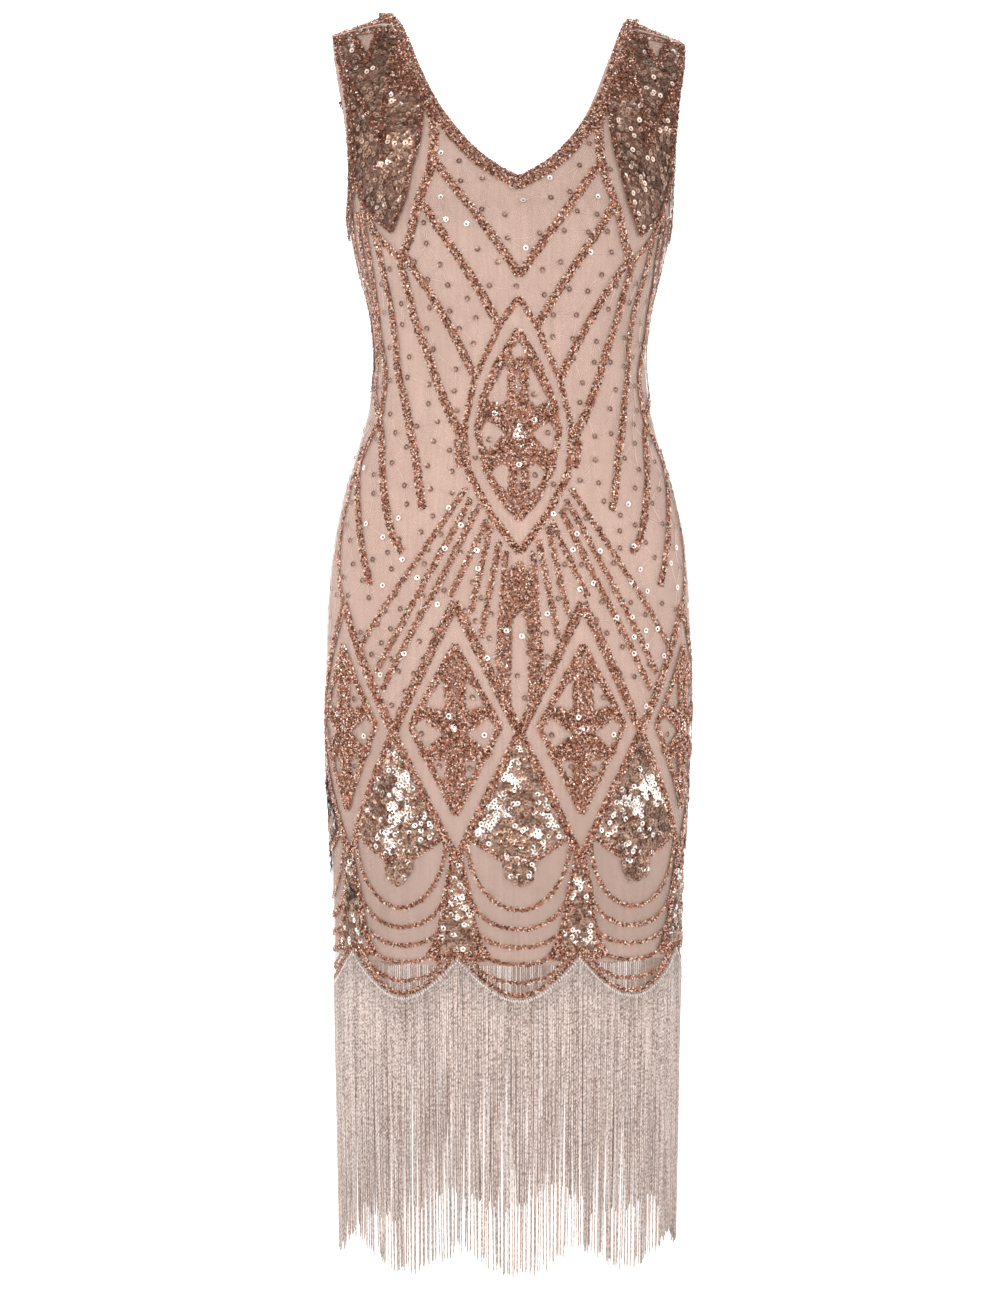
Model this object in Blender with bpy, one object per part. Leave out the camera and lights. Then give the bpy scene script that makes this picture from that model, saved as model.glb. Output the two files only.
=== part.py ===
"""Sleeveless flapper dress, filled out as if worn, hollow and open at neck, armholes and hem.

Units are metres, +Z is up, the front faces -Y and the wearer's left is +X.
The origin is on the shoulder ridge: z = 0 at the neck end of the straps, on the centre line.

The whole dress is one ruled surface through horizontal sections.  A place on it is (t, s):
t counts the sections down the front (t > 0) or down the back (t < 0) from the shoulder
ridge, and s runs across, from the neck edge or centre line (0) to the armhole edge or side
seam (1).  Every piece is worked out from that surface, moved in or out along its normal.
"""

import math
import random
from collections import namedtuple

import bpy
import numpy as np

MM = 0.001

# ---------------------------------------------------------------- driving sizes
CLOTH = 1.0 * MM                # wall of the net and of the lining
SEAM_GAP = 0.3 * MM             # between pieces that are sewn together
COLUMNS = 12                    # facets from the centre line to a side seam
SIDE_ROUNDNESS = 2.25           # exponent of the sections: 2 is an ellipse, more is boxier
SHOULDER_SLOPE = math.tan(math.radians(24.5))
SLOPE_STARTS = 109.0 * MM       # half width at which the straps start to slope down
SLOPE_ROUNDING = 14.0 * MM      # width over which they turn into that slope
SLOPE_ENDS_AT = -170.0 * MM     # level below which the sections are level

SCALLOPS = 8                    # round the hem
CUSP_LEVEL = -857.0 * MM        # hem edge of the net, between scallops
SCALLOP_DEPTH = 36.0 * MM
LINING_HEM = -864.0 * MM

BAND_LIFT = 0.8 * MM            # beaded bands and fields stand clear of the net by this
BAND_THICK = 1.2 * MM
NECK_BAND = 12.0 * MM
ARMHOLE_BAND = 9.0 * MM
FIELD_LIFT = 1.0 * MM
FIELD_THICK = 1.4 * MM
BLUNT = 2.0 * MM                # height left at the pointed corners of a field

HEADING_DROP = 0.45 * MM        # fringe heading below the net's edge
HEADING_HEIGHT = 4.0 * MM
HEADING_OUT = 0.4 * MM
HEADING_IN = -0.9 * MM
STRANDS_PER_COLUMN = 4
STRAND_WIDTH = 1.5 * MM
STRAND_TIP = 0.6                # tip width as a share of the root's
FRINGE_END_AT_CUSP = -1109.0 * MM
FRINGE_END_SWING = 27.0 * MM    # how much lower the strands end under a scallop's middle
FRINGE_UNEVEN = 7.0 * MM
FRINGE_TAPER = 0.97             # the fringe hangs in to this share of its width at the root

# ---------------------------------------------------------------- sections, in millimetres
# level: height.  width: half width of the full section.  front, back: its depths.
# arm: half width at the armhole edge.  neck_f, neck_b: half width at the neck edge.
Section = namedtuple("Section", "level width front back arm neck_f neck_b")
SECTIONS = [
    Section(0, 212, 0, 0, 164, 109, 109),
    Section(-2.5, 211, 8, 9, 163.8, 107.8, 108),
    Section(-12, 208, 21, 23, 163, 102, 103),
    Section(-35, 201, 38, 44, 160, 93, 94),
    Section(-65, 190, 57, 63, 155, 83.5, 82),
    Section(-100, 174.5, 75, 79, 151, 68.5, 58),
    Section(-135, 160, 88, 88, 149, 44.5, 26),
    Section(-152, 155, 93, 91, 149, 28, 0),
    Section(-170, 151.5, 98, 94, 149, 0, 0),
    Section(-181, 150.6, 101, 95.3, 149.8, 0, 0),
    Section(-188, 150, 103, 96, 150, 0, 0),
    Section(-214, 145.5, 111, 97, 145.5, 0, 0),
    Section(-245, 137.5, 111, 92, 137.5, 0, 0),
    Section(-280, 128.5, 102, 86, 128.5, 0, 0),
    Section(-318, 125, 94, 83, 125, 0, 0),
    Section(-358, 129, 95, 87, 129, 0, 0),
    Section(-400, 140, 99, 96, 140, 0, 0),
    Section(-450, 154.5, 104, 109, 154.5, 0, 0),
    Section(-505, 164.6, 107.5, 119, 164.6, 0, 0),
    Section(-565, 168.6, 109.5, 124.5, 168.6, 0, 0),
    Section(-630, 169.3, 110, 125, 169.3, 0, 0),
    Section(-700, 167, 109, 119, 167, 0, 0),
    Section(-770, 162.8, 107, 112.5, 162.8, 0, 0),
    Section(-830, 160.3, 105, 108, 160.3, 0, 0),
    Section(-895, 158.2, 104, 104, 158.2, 0, 0),
]
LEVELS = [section.level * MM for section in SECTIONS]
SHOULDER_SEAM = 1.0             # t of the seam, a little in front of the ridge
FRONT_V = 8.0                   # t at the bottom of the front V
BACK_V = 7.0                    # |t| at the bottom of the back V
UNDERARM = 10.0                 # |t| at the bottom of the armholes
UNDERARM_ROWS = [8.5, 9.0, 9.35, 9.7]   # where the armhole band turns under the arm
LAST_ROW = 23                   # the last whole section above the scalloped edge
BAND_SEAM = 0.12                # sections between the front and back neck bands at the seam
BAND_INSET = 0.004              # share of a row left free between neck edge and neck band

# ---------------------------------------------------------------- raised fields
# Of each field: half width in columns, and levels of its upper and lower edge, from the
# middle to the corners.
Field = namedtuple("Field", "half_width top top_corner foot foot_corner bands")
WAIST_LOZENGE = Field(2.3, -306.5, -388, -473, -388, 5)
HIP_LOZENGE = Field(2.12, -582, -656, -732, -656, 4)
HIP_FAN = Field(2.05, -668, -752, -790, -757, 2)
HEM_WEDGE = Field(1.0, -772, -846, -850, -850, 2)

# The shoulder fields: section, and the shares of the row that they run between.
FieldRow = namedtuple("FieldRow", "t inner outer")
SHOULDER_FIELD = [
    FieldRow(2, 0.28, 0.76),
    FieldRow(3, 0.25, 0.79),
    FieldRow(4, 0.24, 0.81),
    FieldRow(5, 0.30, 0.83),
    FieldRow(6, 0.50, 0.83),
    FieldRow(7, 0.58, 0.83),
    FieldRow(8, 0.66, 0.81),
    FieldRow(9, 0.67, 0.80),
    FieldRow(10, 0.68, 0.79),
    FieldRow(11, 0.72, 0.745),
]
SHOULDER_FIELD_COLUMNS = 5


# ---------------------------------------------------------------- the surface
def section_curve(index, is_front):
    """Points across the right half of one section, from its inner to its outer edge."""
    section = SECTIONS[index]
    width = section.width * MM
    depth = (section.front if is_front else section.back) * MM
    inner = (section.neck_f if is_front else section.neck_b) * MM
    half_power = SIDE_ROUNDNESS / 2.0
    start = math.asin((inner / width) ** half_power)
    end = math.asin(min((section.arm * MM / width) ** half_power, 1.0))
    angle = np.linspace(start, end, 241)
    x = width * np.clip(np.sin(angle), 0, 1) ** (1 / half_power)
    y = depth * np.clip(np.cos(angle), 0, 1) ** (1 / half_power)
    level = section.level * MM
    blend = max(0.0, 1.0 - level / SLOPE_ENDS_AT)
    slope = SHOULDER_SLOPE * blend * blend * (3.0 - 2.0 * blend)
    past = np.maximum(x - SLOPE_STARTS, 0.0)
    turned = np.minimum(past, SLOPE_ROUNDING)
    z = level - slope * (turned * turned / (2.0 * SLOPE_ROUNDING) + past - turned)
    points = np.stack([x, -y if is_front else y, z], axis=1)
    steps = np.linalg.norm(np.diff(points, axis=0), axis=1)
    share = np.concatenate([[0.0], np.cumsum(steps)]) / steps.sum()
    return share, points


CURVES = {
    (index, is_front): section_curve(index, is_front)
    for index in range(len(SECTIONS))
    for is_front in (True, False)
}


def on_section(index, s):
    """The point at share s of a whole section; index < 0 is the back."""
    is_front = index > 0
    index = abs(index)
    below_arm = index >= UNDERARM
    if s > 1.0:
        if below_arm:
            is_front = not is_front
            s = 2.0 - s
        else:
            s = 1.0
    mirrored = s < 0.0
    share, points = CURVES[index, is_front]
    at_centre = points[0][0] == 0.0
    if mirrored and not at_centre:
        s = 0.0
        mirrored = False
    place = np.array([np.interp(abs(s), share, points[:, axis]) for axis in range(3)])
    if mirrored:
        place[0] = -place[0]
    return place


def surface(t, s):
    """The point (t, s) of the dress's outer surface, right half."""
    t = max(-(len(SECTIONS) - 1.0), min(len(SECTIONS) - 1.0, t))
    low = math.floor(t)
    share = t - low
    if share == 0.0:
        return on_section(low, s)
    return (1.0 - share) * on_section(low, s) + share * on_section(low + 1, s)


def normal(t, s):
    """The outward normal at (t, s)."""
    across = surface(t, s + 0.02) - surface(t, s - 0.02)
    along = surface(t + 0.5, s) - surface(t - 0.5, s)
    out = -np.cross(across, along)
    return out / np.linalg.norm(out)


def place(t, s, out=0.0):
    """The point (t, s), moved out along the normal; s < 0 is the left half."""
    point = surface(t, abs(s)) + out * normal(t, abs(s))
    if s < 0.0:
        point[0] = -point[0]
    return point


def t_at_level(level, side):
    """The t of a level on the front (side 1) or the back (side -1)."""
    rows = np.arange(len(LEVELS))
    return side * float(np.interp(-level, [-value for value in LEVELS], rows))


def hem_level(s):
    """The scalloped edge: a scallop's middle on the centre line and on the side seams."""
    turns = SCALLOPS / 4.0 * s + 0.5
    return CUSP_LEVEL - SCALLOP_DEPTH * abs(math.sin(math.pi * turns))


def beside(t, s, width, heading):
    """The place a given width away from (t, s), square to a heading along an edge."""
    target = surface(t, s) + width * np.cross(normal(t, s), heading)
    for _ in range(12):
        miss = target - surface(t, s)
        by_t = surface(t + 0.1, s) - surface(t - 0.1, s)
        by_s = surface(t, s + 0.01) - surface(t, s - 0.01)
        step = np.linalg.lstsq(np.stack([by_t / 0.2, by_s / 0.02], axis=1), miss, rcond=None)[0]
        t += 0.7 * float(step[0])
        s = min(1.0, max(0.0, s + 0.7 * float(step[1])))
    return t, s


# ---------------------------------------------------------------- mesh helpers
def make_material(name, colour, roughness, metallic=0.0):
    material = bpy.data.materials.new(name)
    material.use_nodes = True
    shader = material.node_tree.nodes["Principled BSDF"]
    shader.inputs["Base Color"].default_value = (*colour, 1.0)
    shader.inputs["Roughness"].default_value = roughness
    shader.inputs["Metallic"].default_value = metallic
    return material


def add_object(name, points, faces, material):
    mesh = bpy.data.meshes.new(name)
    mesh.from_pydata([tuple(point) for point in points], [], faces)
    mesh.materials.append(material)
    mesh.update()
    obj = bpy.data.objects.new(name, mesh)
    bpy.context.collection.objects.link(obj)
    return obj


def split(quad, points):
    """The two triangles of a face, cut along its shorter diagonal."""
    a, b, c, d = quad
    if np.linalg.norm(points[a] - points[c]) <= np.linalg.norm(points[b] - points[d]):
        return (a, b, c), (a, c, d)
    return (a, b, d), (b, c, d)


def add_shell(name, outer, inner, quads, material):
    """A closed wall: the faces on the outer points, the same on the inner, and the rim."""
    count = len(outer)
    faces = [face for quad in quads for face in split(quad, outer)]
    faces += [tuple(count + corner for corner in reversed(face)) for face in faces]
    edges = set()
    for quad in quads:
        edges.update(zip(quad, quad[1:] + quad[:1]))
    for start, end in sorted(edges):
        if (end, start) not in edges:
            faces.append((end, start, start + count, end + count))
    return add_object(name, list(outer) + list(inner), faces, material)


def add_grid(name, rows, material, out, thick, closed=False):
    """A wall on a grid of (t, s) places; its outer face lies `out` from the surface."""
    wide = len(rows[0])
    outer = [place(t, s, out) for row in rows for t, s in row]
    inner = [place(t, s, out - thick) for row in rows for t, s in row]
    quads = []
    last = len(rows) if closed else len(rows) - 1
    for row in range(last):
        below = (row + 1) % len(rows)
        for column in range(wide - 1):
            quads.append((
                row * wide + column,
                below * wide + column,
                below * wide + column + 1,
                row * wide + column + 1,
            ))
    return add_shell(name, outer, inner, face_out(outer, inner, quads), material)


def face_out(outer, inner, quads):
    """The faces turned so that they look away from the inner points."""
    first = quads[0]
    corners = [outer[corner] for corner in first]
    across = np.cross(corners[2] - corners[0], corners[3] - corners[1])
    if np.dot(across, corners[0] - inner[first[0]]) < 0.0:
        return [tuple(reversed(quad)) for quad in quads]
    return quads


# ---------------------------------------------------------------- net and lining
def panel_rows(side, hem):
    """The places of the right half of a panel, row by row from the shoulder to its hem."""
    if side > 0:
        rows = [float(index) for index in range(int(SHOULDER_SEAM), LAST_ROW + 1)]
    else:
        step = np.linalg.norm(surface(SHOULDER_SEAM, 0.5) - surface(0.0, 0.5))
        rows = [SHOULDER_SEAM - SEAM_GAP / step]
        rows += [-float(index) for index in range(0, LAST_ROW + 1)]
    places = [[(t, column / COLUMNS) for column in range(COLUMNS + 1)] for t in rows]
    places.append([(t_at_level(hem(s), side), s) for _, s in places[0]])
    return places


def away_from_side_seam(t, s):
    """The side edge of a panel, drawn back by half of the seam's gap."""
    if s < 1.0 or abs(t) < UNDERARM:
        return s
    length = np.linalg.norm(surface(t, 1.0) - surface(t, 0.99)) / 0.01
    return 1.0 - 0.5 * SEAM_GAP / length


def add_panel(name, side, hem, out, material):
    """Both halves of a front or back panel, joined along the centre line below the V."""
    places = panel_rows(side, hem)
    wide = COLUMNS + 1
    outer, inner = [], []
    right, left = {}, {}
    for row, line in enumerate(places):
        for column, (t, s) in enumerate(line):
            s = away_from_side_seam(t, s)
            outside = place(t, s, out)
            inside = place(t, s, out - CLOTH)
            on_centre = abs(outside[0]) < 0.01 * MM
            right[row, column] = len(outer)
            outer.append(outside)
            inner.append(inside)
            if on_centre:
                outside[0] = inside[0] = 0.0
                left[row, column] = right[row, column]
            else:
                left[row, column] = len(outer)
                outer.append(outside * (-1, 1, 1))
                inner.append(inside * (-1, 1, 1))
    quads = []
    for row in range(len(places) - 1):
        for column in range(wide - 1):
            corners = [(row, column), (row + 1, column), (row + 1, column + 1), (row, column + 1)]
            quads.append(tuple(right[corner] for corner in corners))
            quads.append(tuple(left[corner] for corner in reversed(corners)))
    return add_shell(name, outer, inner, face_out(outer, inner, quads), material)


# ---------------------------------------------------------------- bands and fields
def add_neck_band(name, side, material):
    """A raised border along the neck edge of one panel, from shoulder seam to shoulder seam."""
    bottom = FRONT_V if side > 0 else BACK_V
    top = SHOULDER_SEAM if side > 0 else SHOULDER_SEAM - BAND_SEAM
    edge = [top] if side > 0 else [top, 0.5, 0.0]
    edge += [side * 0.5 * step for step in range(3 if side > 0 else 1, int(2 * bottom) + 1)]
    half = []
    for index, t in enumerate(edge):
        before = surface(edge[max(index - 1, 0)], 0.0)
        if index + 1 < len(edge):
            after = surface(edge[index + 1], 0.0)
        else:
            after = before * (-1, 1, 1)
        heading = (before - after) / np.linalg.norm(before - after)
        reach = -side * NECK_BAND
        half.append([
            (t, BAND_INSET),
            beside(t, 0.0, 0.5 * reach, heading),
            beside(t, 0.0, reach, heading),
        ])
    half[-1] = [(t, 0.0) for t, _ in half[-1]]
    mirrored = [[(t, -s) for t, s in row] for row in reversed(half[:-1])]
    return add_grid(name, half + mirrored, material, BAND_LIFT + BAND_THICK, BAND_THICK)


def add_armhole_band(name, hand, material):
    """A raised border all round one armhole; hand is 1 on the right half, -1 on the left."""
    down = [float(index) for index in range(1, int(UNDERARM) - 1)] + UNDERARM_ROWS
    edge = [UNDERARM] + down[::-1] + [0.0] + [-t for t in down]
    ring = []
    for index, t in enumerate(edge):
        before = surface(edge[index - 1], 1.0)
        after = surface(edge[(index + 1) % len(edge)], 1.0)
        heading = (before - after) / np.linalg.norm(before - after)
        ring.append([(t, 1.0), beside(t, 1.0, -ARMHOLE_BAND, heading)])
    ring = [[(t, hand * max(s, 1e-6)) for t, s in row] for row in ring]
    return add_grid(name, ring, material, BAND_LIFT + BAND_THICK, BAND_THICK, closed=True)


def add_field(name, side, centre, field, material):
    """A raised beaded field round column `centre`."""
    low, high = centre - field.half_width, centre + field.half_width
    inside = list(range(math.ceil(low), math.floor(high) + 1))
    inside = [column for column in inside if min(column - low, high - column) > 0.3]
    rows = []
    for band in range(field.bands + 1):
        row = []
        for column in [low] + inside + [high]:
            u = abs(column - centre) / field.half_width
            upper = (field.top + (field.top_corner - field.top) * u) * MM
            lower = (field.foot + (field.foot_corner - field.foot) * u) * MM
            reach = max(0.5 * (upper - lower), 0.5 * BLUNT)
            level = 0.5 * (upper + lower) + reach * (1.0 - 2.0 * band / field.bands)
            row.append((t_at_level(level, side), column / COLUMNS))
        rows.append(row)
    return add_grid(name, rows, material, FIELD_LIFT + FIELD_THICK, FIELD_THICK)


def unrolled(turn):
    """The side and column of a place counted in columns round the dress from the front centre."""
    if turn <= COLUMNS:
        return 1, float(turn)
    if turn < 3 * COLUMNS:
        return -1, float(2 * COLUMNS - turn)
    return 1, float(turn - 4 * COLUMNS)


def add_hip_ring(beads, sequins):
    """What repeats round the hips: a lozenge and a wedge over each cusp, a fan between two."""
    pitch = 4 * COLUMNS // SCALLOPS
    for step in range(SCALLOPS):
        number = str(step + 1)
        side, centre = unrolled((step + 0.5) * pitch)
        add_field("hip_lozenge_" + number, side, centre, HIP_LOZENGE, beads)
        add_field("hem_wedge_" + number, side, centre, HEM_WEDGE, sequins)
        side, centre = unrolled(step * pitch)
        add_field("hip_fan_" + number, side, centre, HIP_FAN, sequins)


def add_shoulder_field(name, side, hand, material):
    """A raised sequin field from the shoulder down to a point beside the bust."""
    rows = []
    for row in SHOULDER_FIELD:
        step = (row.outer - row.inner) / SHOULDER_FIELD_COLUMNS
        shares = [row.inner + step * column for column in range(SHOULDER_FIELD_COLUMNS + 1)]
        rows.append([(side * float(row.t), hand * share) for share in shares])
    return add_grid(name, rows, material, FIELD_LIFT + FIELD_THICK, FIELD_THICK)


# ---------------------------------------------------------------- fringe
def hem_ring():
    """The net's scalloped edge all round, one place for each column: front, then back."""
    ring = []
    for column in range(-COLUMNS, COLUMNS):
        ring.append((1, column / COLUMNS))
    for column in range(COLUMNS, -COLUMNS, -1):
        ring.append((-1, column / COLUMNS))
    return ring


def add_fringe(name, material):
    """A narrow heading under the scalloped edge, with three-sided strands as part of it."""
    rng = random.Random(12)
    ring = hem_ring()
    corners = []
    for side, s in ring:
        t = t_at_level(hem_level(s), side)
        foot = place(t, s)
        out = place(t, s, 1.0) - foot
        swing = (CUSP_LEVEL - hem_level(s)) / SCALLOP_DEPTH
        corners.append((foot - (0, 0, HEADING_DROP), out, swing))
    points, faces = [], []
    slots = []
    for index, (foot, out, swing) in enumerate(corners):
        next_foot, next_out, next_swing = corners[(index + 1) % len(corners)]
        span = np.linalg.norm(next_foot[:2] - foot[:2])
        for strand in range(STRANDS_PER_COLUMN):
            share = strand / STRANDS_PER_COLUMN
            wide = STRAND_WIDTH / span
            end = FRINGE_END_AT_CUSP - FRINGE_END_SWING * (swing + (next_swing - swing) * share)
            end -= rng.uniform(-FRINGE_UNEVEN, FRINGE_UNEVEN)
            first = len(points)
            down = np.array((0, 0, HEADING_HEIGHT))
            for along in (share, share + wide, share + 0.5 * wide):
                here = foot + (next_foot - foot) * along
                away = out + (next_out - out) * along
                reach = HEADING_IN if along == share + 0.5 * wide else HEADING_OUT
                points.append(here + away * reach - down)
            here = foot + (next_foot - foot) * share
            away = out + (next_out - out) * share
            points.append(here + away * HEADING_OUT)
            points.append(here + away * HEADING_IN)
            middle = sum(points[first:first + 3]) / 3.0
            for corner in range(3):
                tip = middle + (points[first + corner] - middle) * STRAND_TIP
                points.append(np.array((tip[0] * FRINGE_TAPER, tip[1] * FRINGE_TAPER, end)))
            slots.append(first)
    left, right, back, over_out, over_in = range(5)
    for index, first in enumerate(slots):
        after = slots[(index + 1) % len(slots)]
        faces.append((first + over_out, first + left, first + right, after + left, after + over_out))
        faces.append((after + over_in, after + back, first + back, first + over_in))
        faces.append((first + over_in, first + over_out, after + over_out, after + over_in))
        faces.append((first + right, first + back, after + back, after + left))
        tips = [first + 5 + corner for corner in range(3)]
        roots = [first + corner for corner in (left, right, back)]
        for corner in range(3):
            other = (corner + 1) % 3
            faces.append((roots[other], roots[corner], tips[corner], tips[other]))
        faces.append((tips[0], tips[2], tips[1]))
    return add_object(name, points, faces, material)


# ---------------------------------------------------------------- the dress
def build():
    for obj in list(bpy.data.objects):
        bpy.data.objects.remove(obj, do_unlink=True)

    net = make_material("blush_net", (0.62, 0.42, 0.34), 0.75)
    lining = make_material("blush_lining", (0.70, 0.50, 0.42), 0.60)
    beads = make_material("rose_copper_beads", (0.42, 0.20, 0.14), 0.35, 0.5)
    sequins = make_material("champagne_sequins", (0.45, 0.33, 0.22), 0.25, 0.8)
    yarn = make_material("blush_fringe", (0.66, 0.47, 0.40), 0.55)

    lining_out = -CLOTH - SEAM_GAP
    for side, word in ((1, "front"), (-1, "back")):
        add_panel(word + "_net", side, hem_level, 0.0, net)
        add_panel(word + "_lining", side, lambda s: LINING_HEM, lining_out, lining)
        add_neck_band("neck_band_" + word, side, beads)
        for hand, where in ((1, "left"), (-1, "right")):
            add_shoulder_field("shoulder_field_" + word + "_" + where, side, hand, sequins)
        add_field("waist_lozenge_" + word, side, 0.0, WAIST_LOZENGE, beads)
    for hand, where in ((1, "left"), (-1, "right")):
        add_armhole_band("armhole_band_" + where, hand, beads)
    add_hip_ring(beads, sequins)
    add_fringe("fringe", yarn)


build()
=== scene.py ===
"""Looks of the flapper dress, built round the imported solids.

Units are metres, +Z is up, the front faces -Y and the wearer's left is +X.

The cloth, beads, sequins and fringe all lie on one surface through horizontal sections.
A spot on it is (column, level): columns run round the dress from the front's centre line,
48 in all, so 12 is the left side seam, 24 the back's centre line and 36 the right side seam.
"""

import math

import bpy
import numpy as np
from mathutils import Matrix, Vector
from mathutils.kdtree import KDTree


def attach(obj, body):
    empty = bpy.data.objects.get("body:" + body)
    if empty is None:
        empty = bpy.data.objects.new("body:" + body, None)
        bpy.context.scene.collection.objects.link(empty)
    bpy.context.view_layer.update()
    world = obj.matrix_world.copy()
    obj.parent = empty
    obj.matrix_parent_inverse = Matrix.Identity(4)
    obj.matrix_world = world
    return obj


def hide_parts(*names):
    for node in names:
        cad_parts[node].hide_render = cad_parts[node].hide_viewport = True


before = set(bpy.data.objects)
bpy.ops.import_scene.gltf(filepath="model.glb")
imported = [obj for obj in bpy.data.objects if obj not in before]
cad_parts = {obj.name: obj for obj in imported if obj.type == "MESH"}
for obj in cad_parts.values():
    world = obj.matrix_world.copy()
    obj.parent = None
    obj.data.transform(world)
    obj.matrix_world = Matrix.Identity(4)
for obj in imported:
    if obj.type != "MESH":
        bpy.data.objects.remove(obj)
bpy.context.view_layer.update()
MM = 0.001
RNG = np.random.default_rng(7)
FACE = {1: "front", -1: "back"}         # side of the dress
ARM_OF = {1: "left", -1: "right"}       # the wearer's hand

# ---------------------------------------------------------------- sizes shared with the solids
SIDE_ROUNDNESS = 2.25
SHOULDER_SLOPE = math.tan(math.radians(24.5))
SLOPE_STARTS = 109.0 * MM
SLOPE_ROUNDING = 14.0 * MM
SLOPE_ENDS_AT = -170.0 * MM
UNDERARM = 10
COLUMNS = 48
PANEL = 12                      # columns from a centre line to a side seam
BACK = 24                       # the back's centre line
SCALLOP = 6                     # columns to a scallop
CUSP_LEVEL = -857.0 * MM
SCALLOP_DEPTH = 36.0 * MM
LINING_HEM = -864.0 * MM
FRINGE_END = -1109.0 * MM
FRINGE_SWING = 27.0 * MM
# level, half width, front depth, back depth, armhole edge, front neck edge, back neck edge
SECTIONS = np.array([
    (0, 212, 0, 0, 164, 109, 109),
    (-2.5, 211, 8, 9, 163.8, 107.8, 108),
    (-12, 208, 21, 23, 163, 102, 103),
    (-35, 201, 38, 44, 160, 93, 94),
    (-65, 190, 57, 63, 155, 83.5, 82),
    (-100, 174.5, 75, 79, 151, 68.5, 58),
    (-135, 160, 88, 88, 149, 44.5, 26),
    (-152, 155, 93, 91, 149, 28, 0),
    (-170, 151.5, 98, 94, 149, 0, 0),
    (-181, 150.6, 101, 95.3, 149.8, 0, 0),
    (-188, 150, 103, 96, 150, 0, 0),
    (-214, 145.5, 111, 97, 145.5, 0, 0),
    (-245, 137.5, 111, 92, 137.5, 0, 0),
    (-280, 128.5, 102, 86, 128.5, 0, 0),
    (-318, 125, 94, 83, 125, 0, 0),
    (-358, 129, 95, 87, 129, 0, 0),
    (-400, 140, 99, 96, 140, 0, 0),
    (-450, 154.5, 104, 109, 154.5, 0, 0),
    (-505, 164.6, 107.5, 119, 164.6, 0, 0),
    (-565, 168.6, 109.5, 124.5, 168.6, 0, 0),
    (-630, 169.3, 110, 125, 169.3, 0, 0),
    (-700, 167, 109, 119, 167, 0, 0),
    (-770, 162.8, 107, 112.5, 162.8, 0, 0),
    (-830, 160.3, 105, 108, 160.3, 0, 0),
    (-895, 158.2, 104, 104, 158.2, 0, 0),
]) * MM
LAST = len(SECTIONS) - 1
STEPS = 16                      # rows of the surface's table to a section
ACROSS = 161                    # places across half a section in that table


# ---------------------------------------------------------------- the surface
def smooth(x, y, at):
    """Values at `at` on the smooth curve through (x, y) that never overshoots its points."""
    gap = np.diff(x)
    rise = np.diff(y) / gap
    slope = np.zeros_like(y)
    for i in range(1, len(x) - 1):
        if rise[i - 1] * rise[i] > 0:
            near, far = 2 * gap[i] + gap[i - 1], gap[i] + 2 * gap[i - 1]
            slope[i] = (near + far) / (near / rise[i - 1] + far / rise[i])
    slope[0], slope[-1] = rise[0], rise[-1]
    i = np.clip(np.searchsorted(x, at) - 1, 0, len(x) - 2)
    f = (at - x[i]) / gap[i]
    return (
        (1 + 2 * f) * (1 - f) ** 2 * y[i]
        + f * (1 - f) ** 2 * gap[i] * slope[i]
        + f * f * (3 - 2 * f) * y[i + 1]
        + f * f * (f - 1) * gap[i] * slope[i + 1]
    )


def past_the_v(edge):
    """The neck edge carried straight on below the V, so that the V stays sharp."""
    edge = edge.copy()
    for i in range(int(np.argmax(edge <= 0)) + 1, len(edge)):
        edge[i] = 2 * edge[i - 1] - edge[i - 2]
    return edge


# Rows are numbered from the shoulder ridge (0), down the front above 0 and down the back below.
ROWS = np.arange(-LAST, LAST + 1.0)
T = np.linspace(-LAST, LAST, 2 * LAST * STEPS + 1)


def down(back, front):
    """A column of the table, smooth from the back's last row over the shoulder to the front's."""
    return smooth(ROWS, np.concatenate([back[:0:-1], front]), T)


level, width, front, back, arm, neck, nape = SECTIONS.T
LEVEL, WIDTH, DEPTH = down(level, level), down(width, width), down(-back, front)
ARM = np.where(np.abs(T) >= UNDERARM, WIDTH, np.minimum(down(arm, arm), WIDTH))
NECK = np.maximum(down(past_the_v(nape), past_the_v(neck)), 0)


def unit(vectors):
    return vectors / np.maximum(np.linalg.norm(vectors, axis=-1, keepdims=True), 1e-12)


def turned(a, b, angle):
    """The direction `angle` round from a towards b."""
    return a * np.cos(angle) + b * np.sin(angle)


def round_turn(count):
    """Angles spread round a whole turn."""
    return np.arange(count) / count * 2 * math.pi


def lengths(points):
    """How far each point lies along a path."""
    steps = np.linalg.norm(np.diff(points, axis=0), axis=1)
    return np.concatenate([[0.0], np.cumsum(steps)])


def along(at, far, table):
    """The table's rows at the places `at`, where `far` says how far on each row lies."""
    return np.stack([np.interp(at, far, table[:, axis]) for axis in range(table.shape[1])], axis=1)


def section(row):
    """Half of one section from the centre line out."""
    angle = np.linspace(0, math.pi / 2, 481)
    x = WIDTH[row] * np.sin(angle) ** (2 / SIDE_ROUNDNESS)
    y = -DEPTH[row] * np.clip(np.cos(angle), 0, 1) ** (2 / SIDE_ROUNDNESS)
    blend = max(0.0, 1.0 - LEVEL[row] / SLOPE_ENDS_AT)
    slope = SHOULDER_SLOPE * blend * blend * (3 - 2 * blend)
    past = np.maximum(x - SLOPE_STARTS, 0)
    turned = np.minimum(past, SLOPE_ROUNDING)
    z = LEVEL[row] - slope * (turned * turned / (2 * SLOPE_ROUNDING) + past - turned)
    return np.stack([x, y, z], axis=1)


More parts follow.
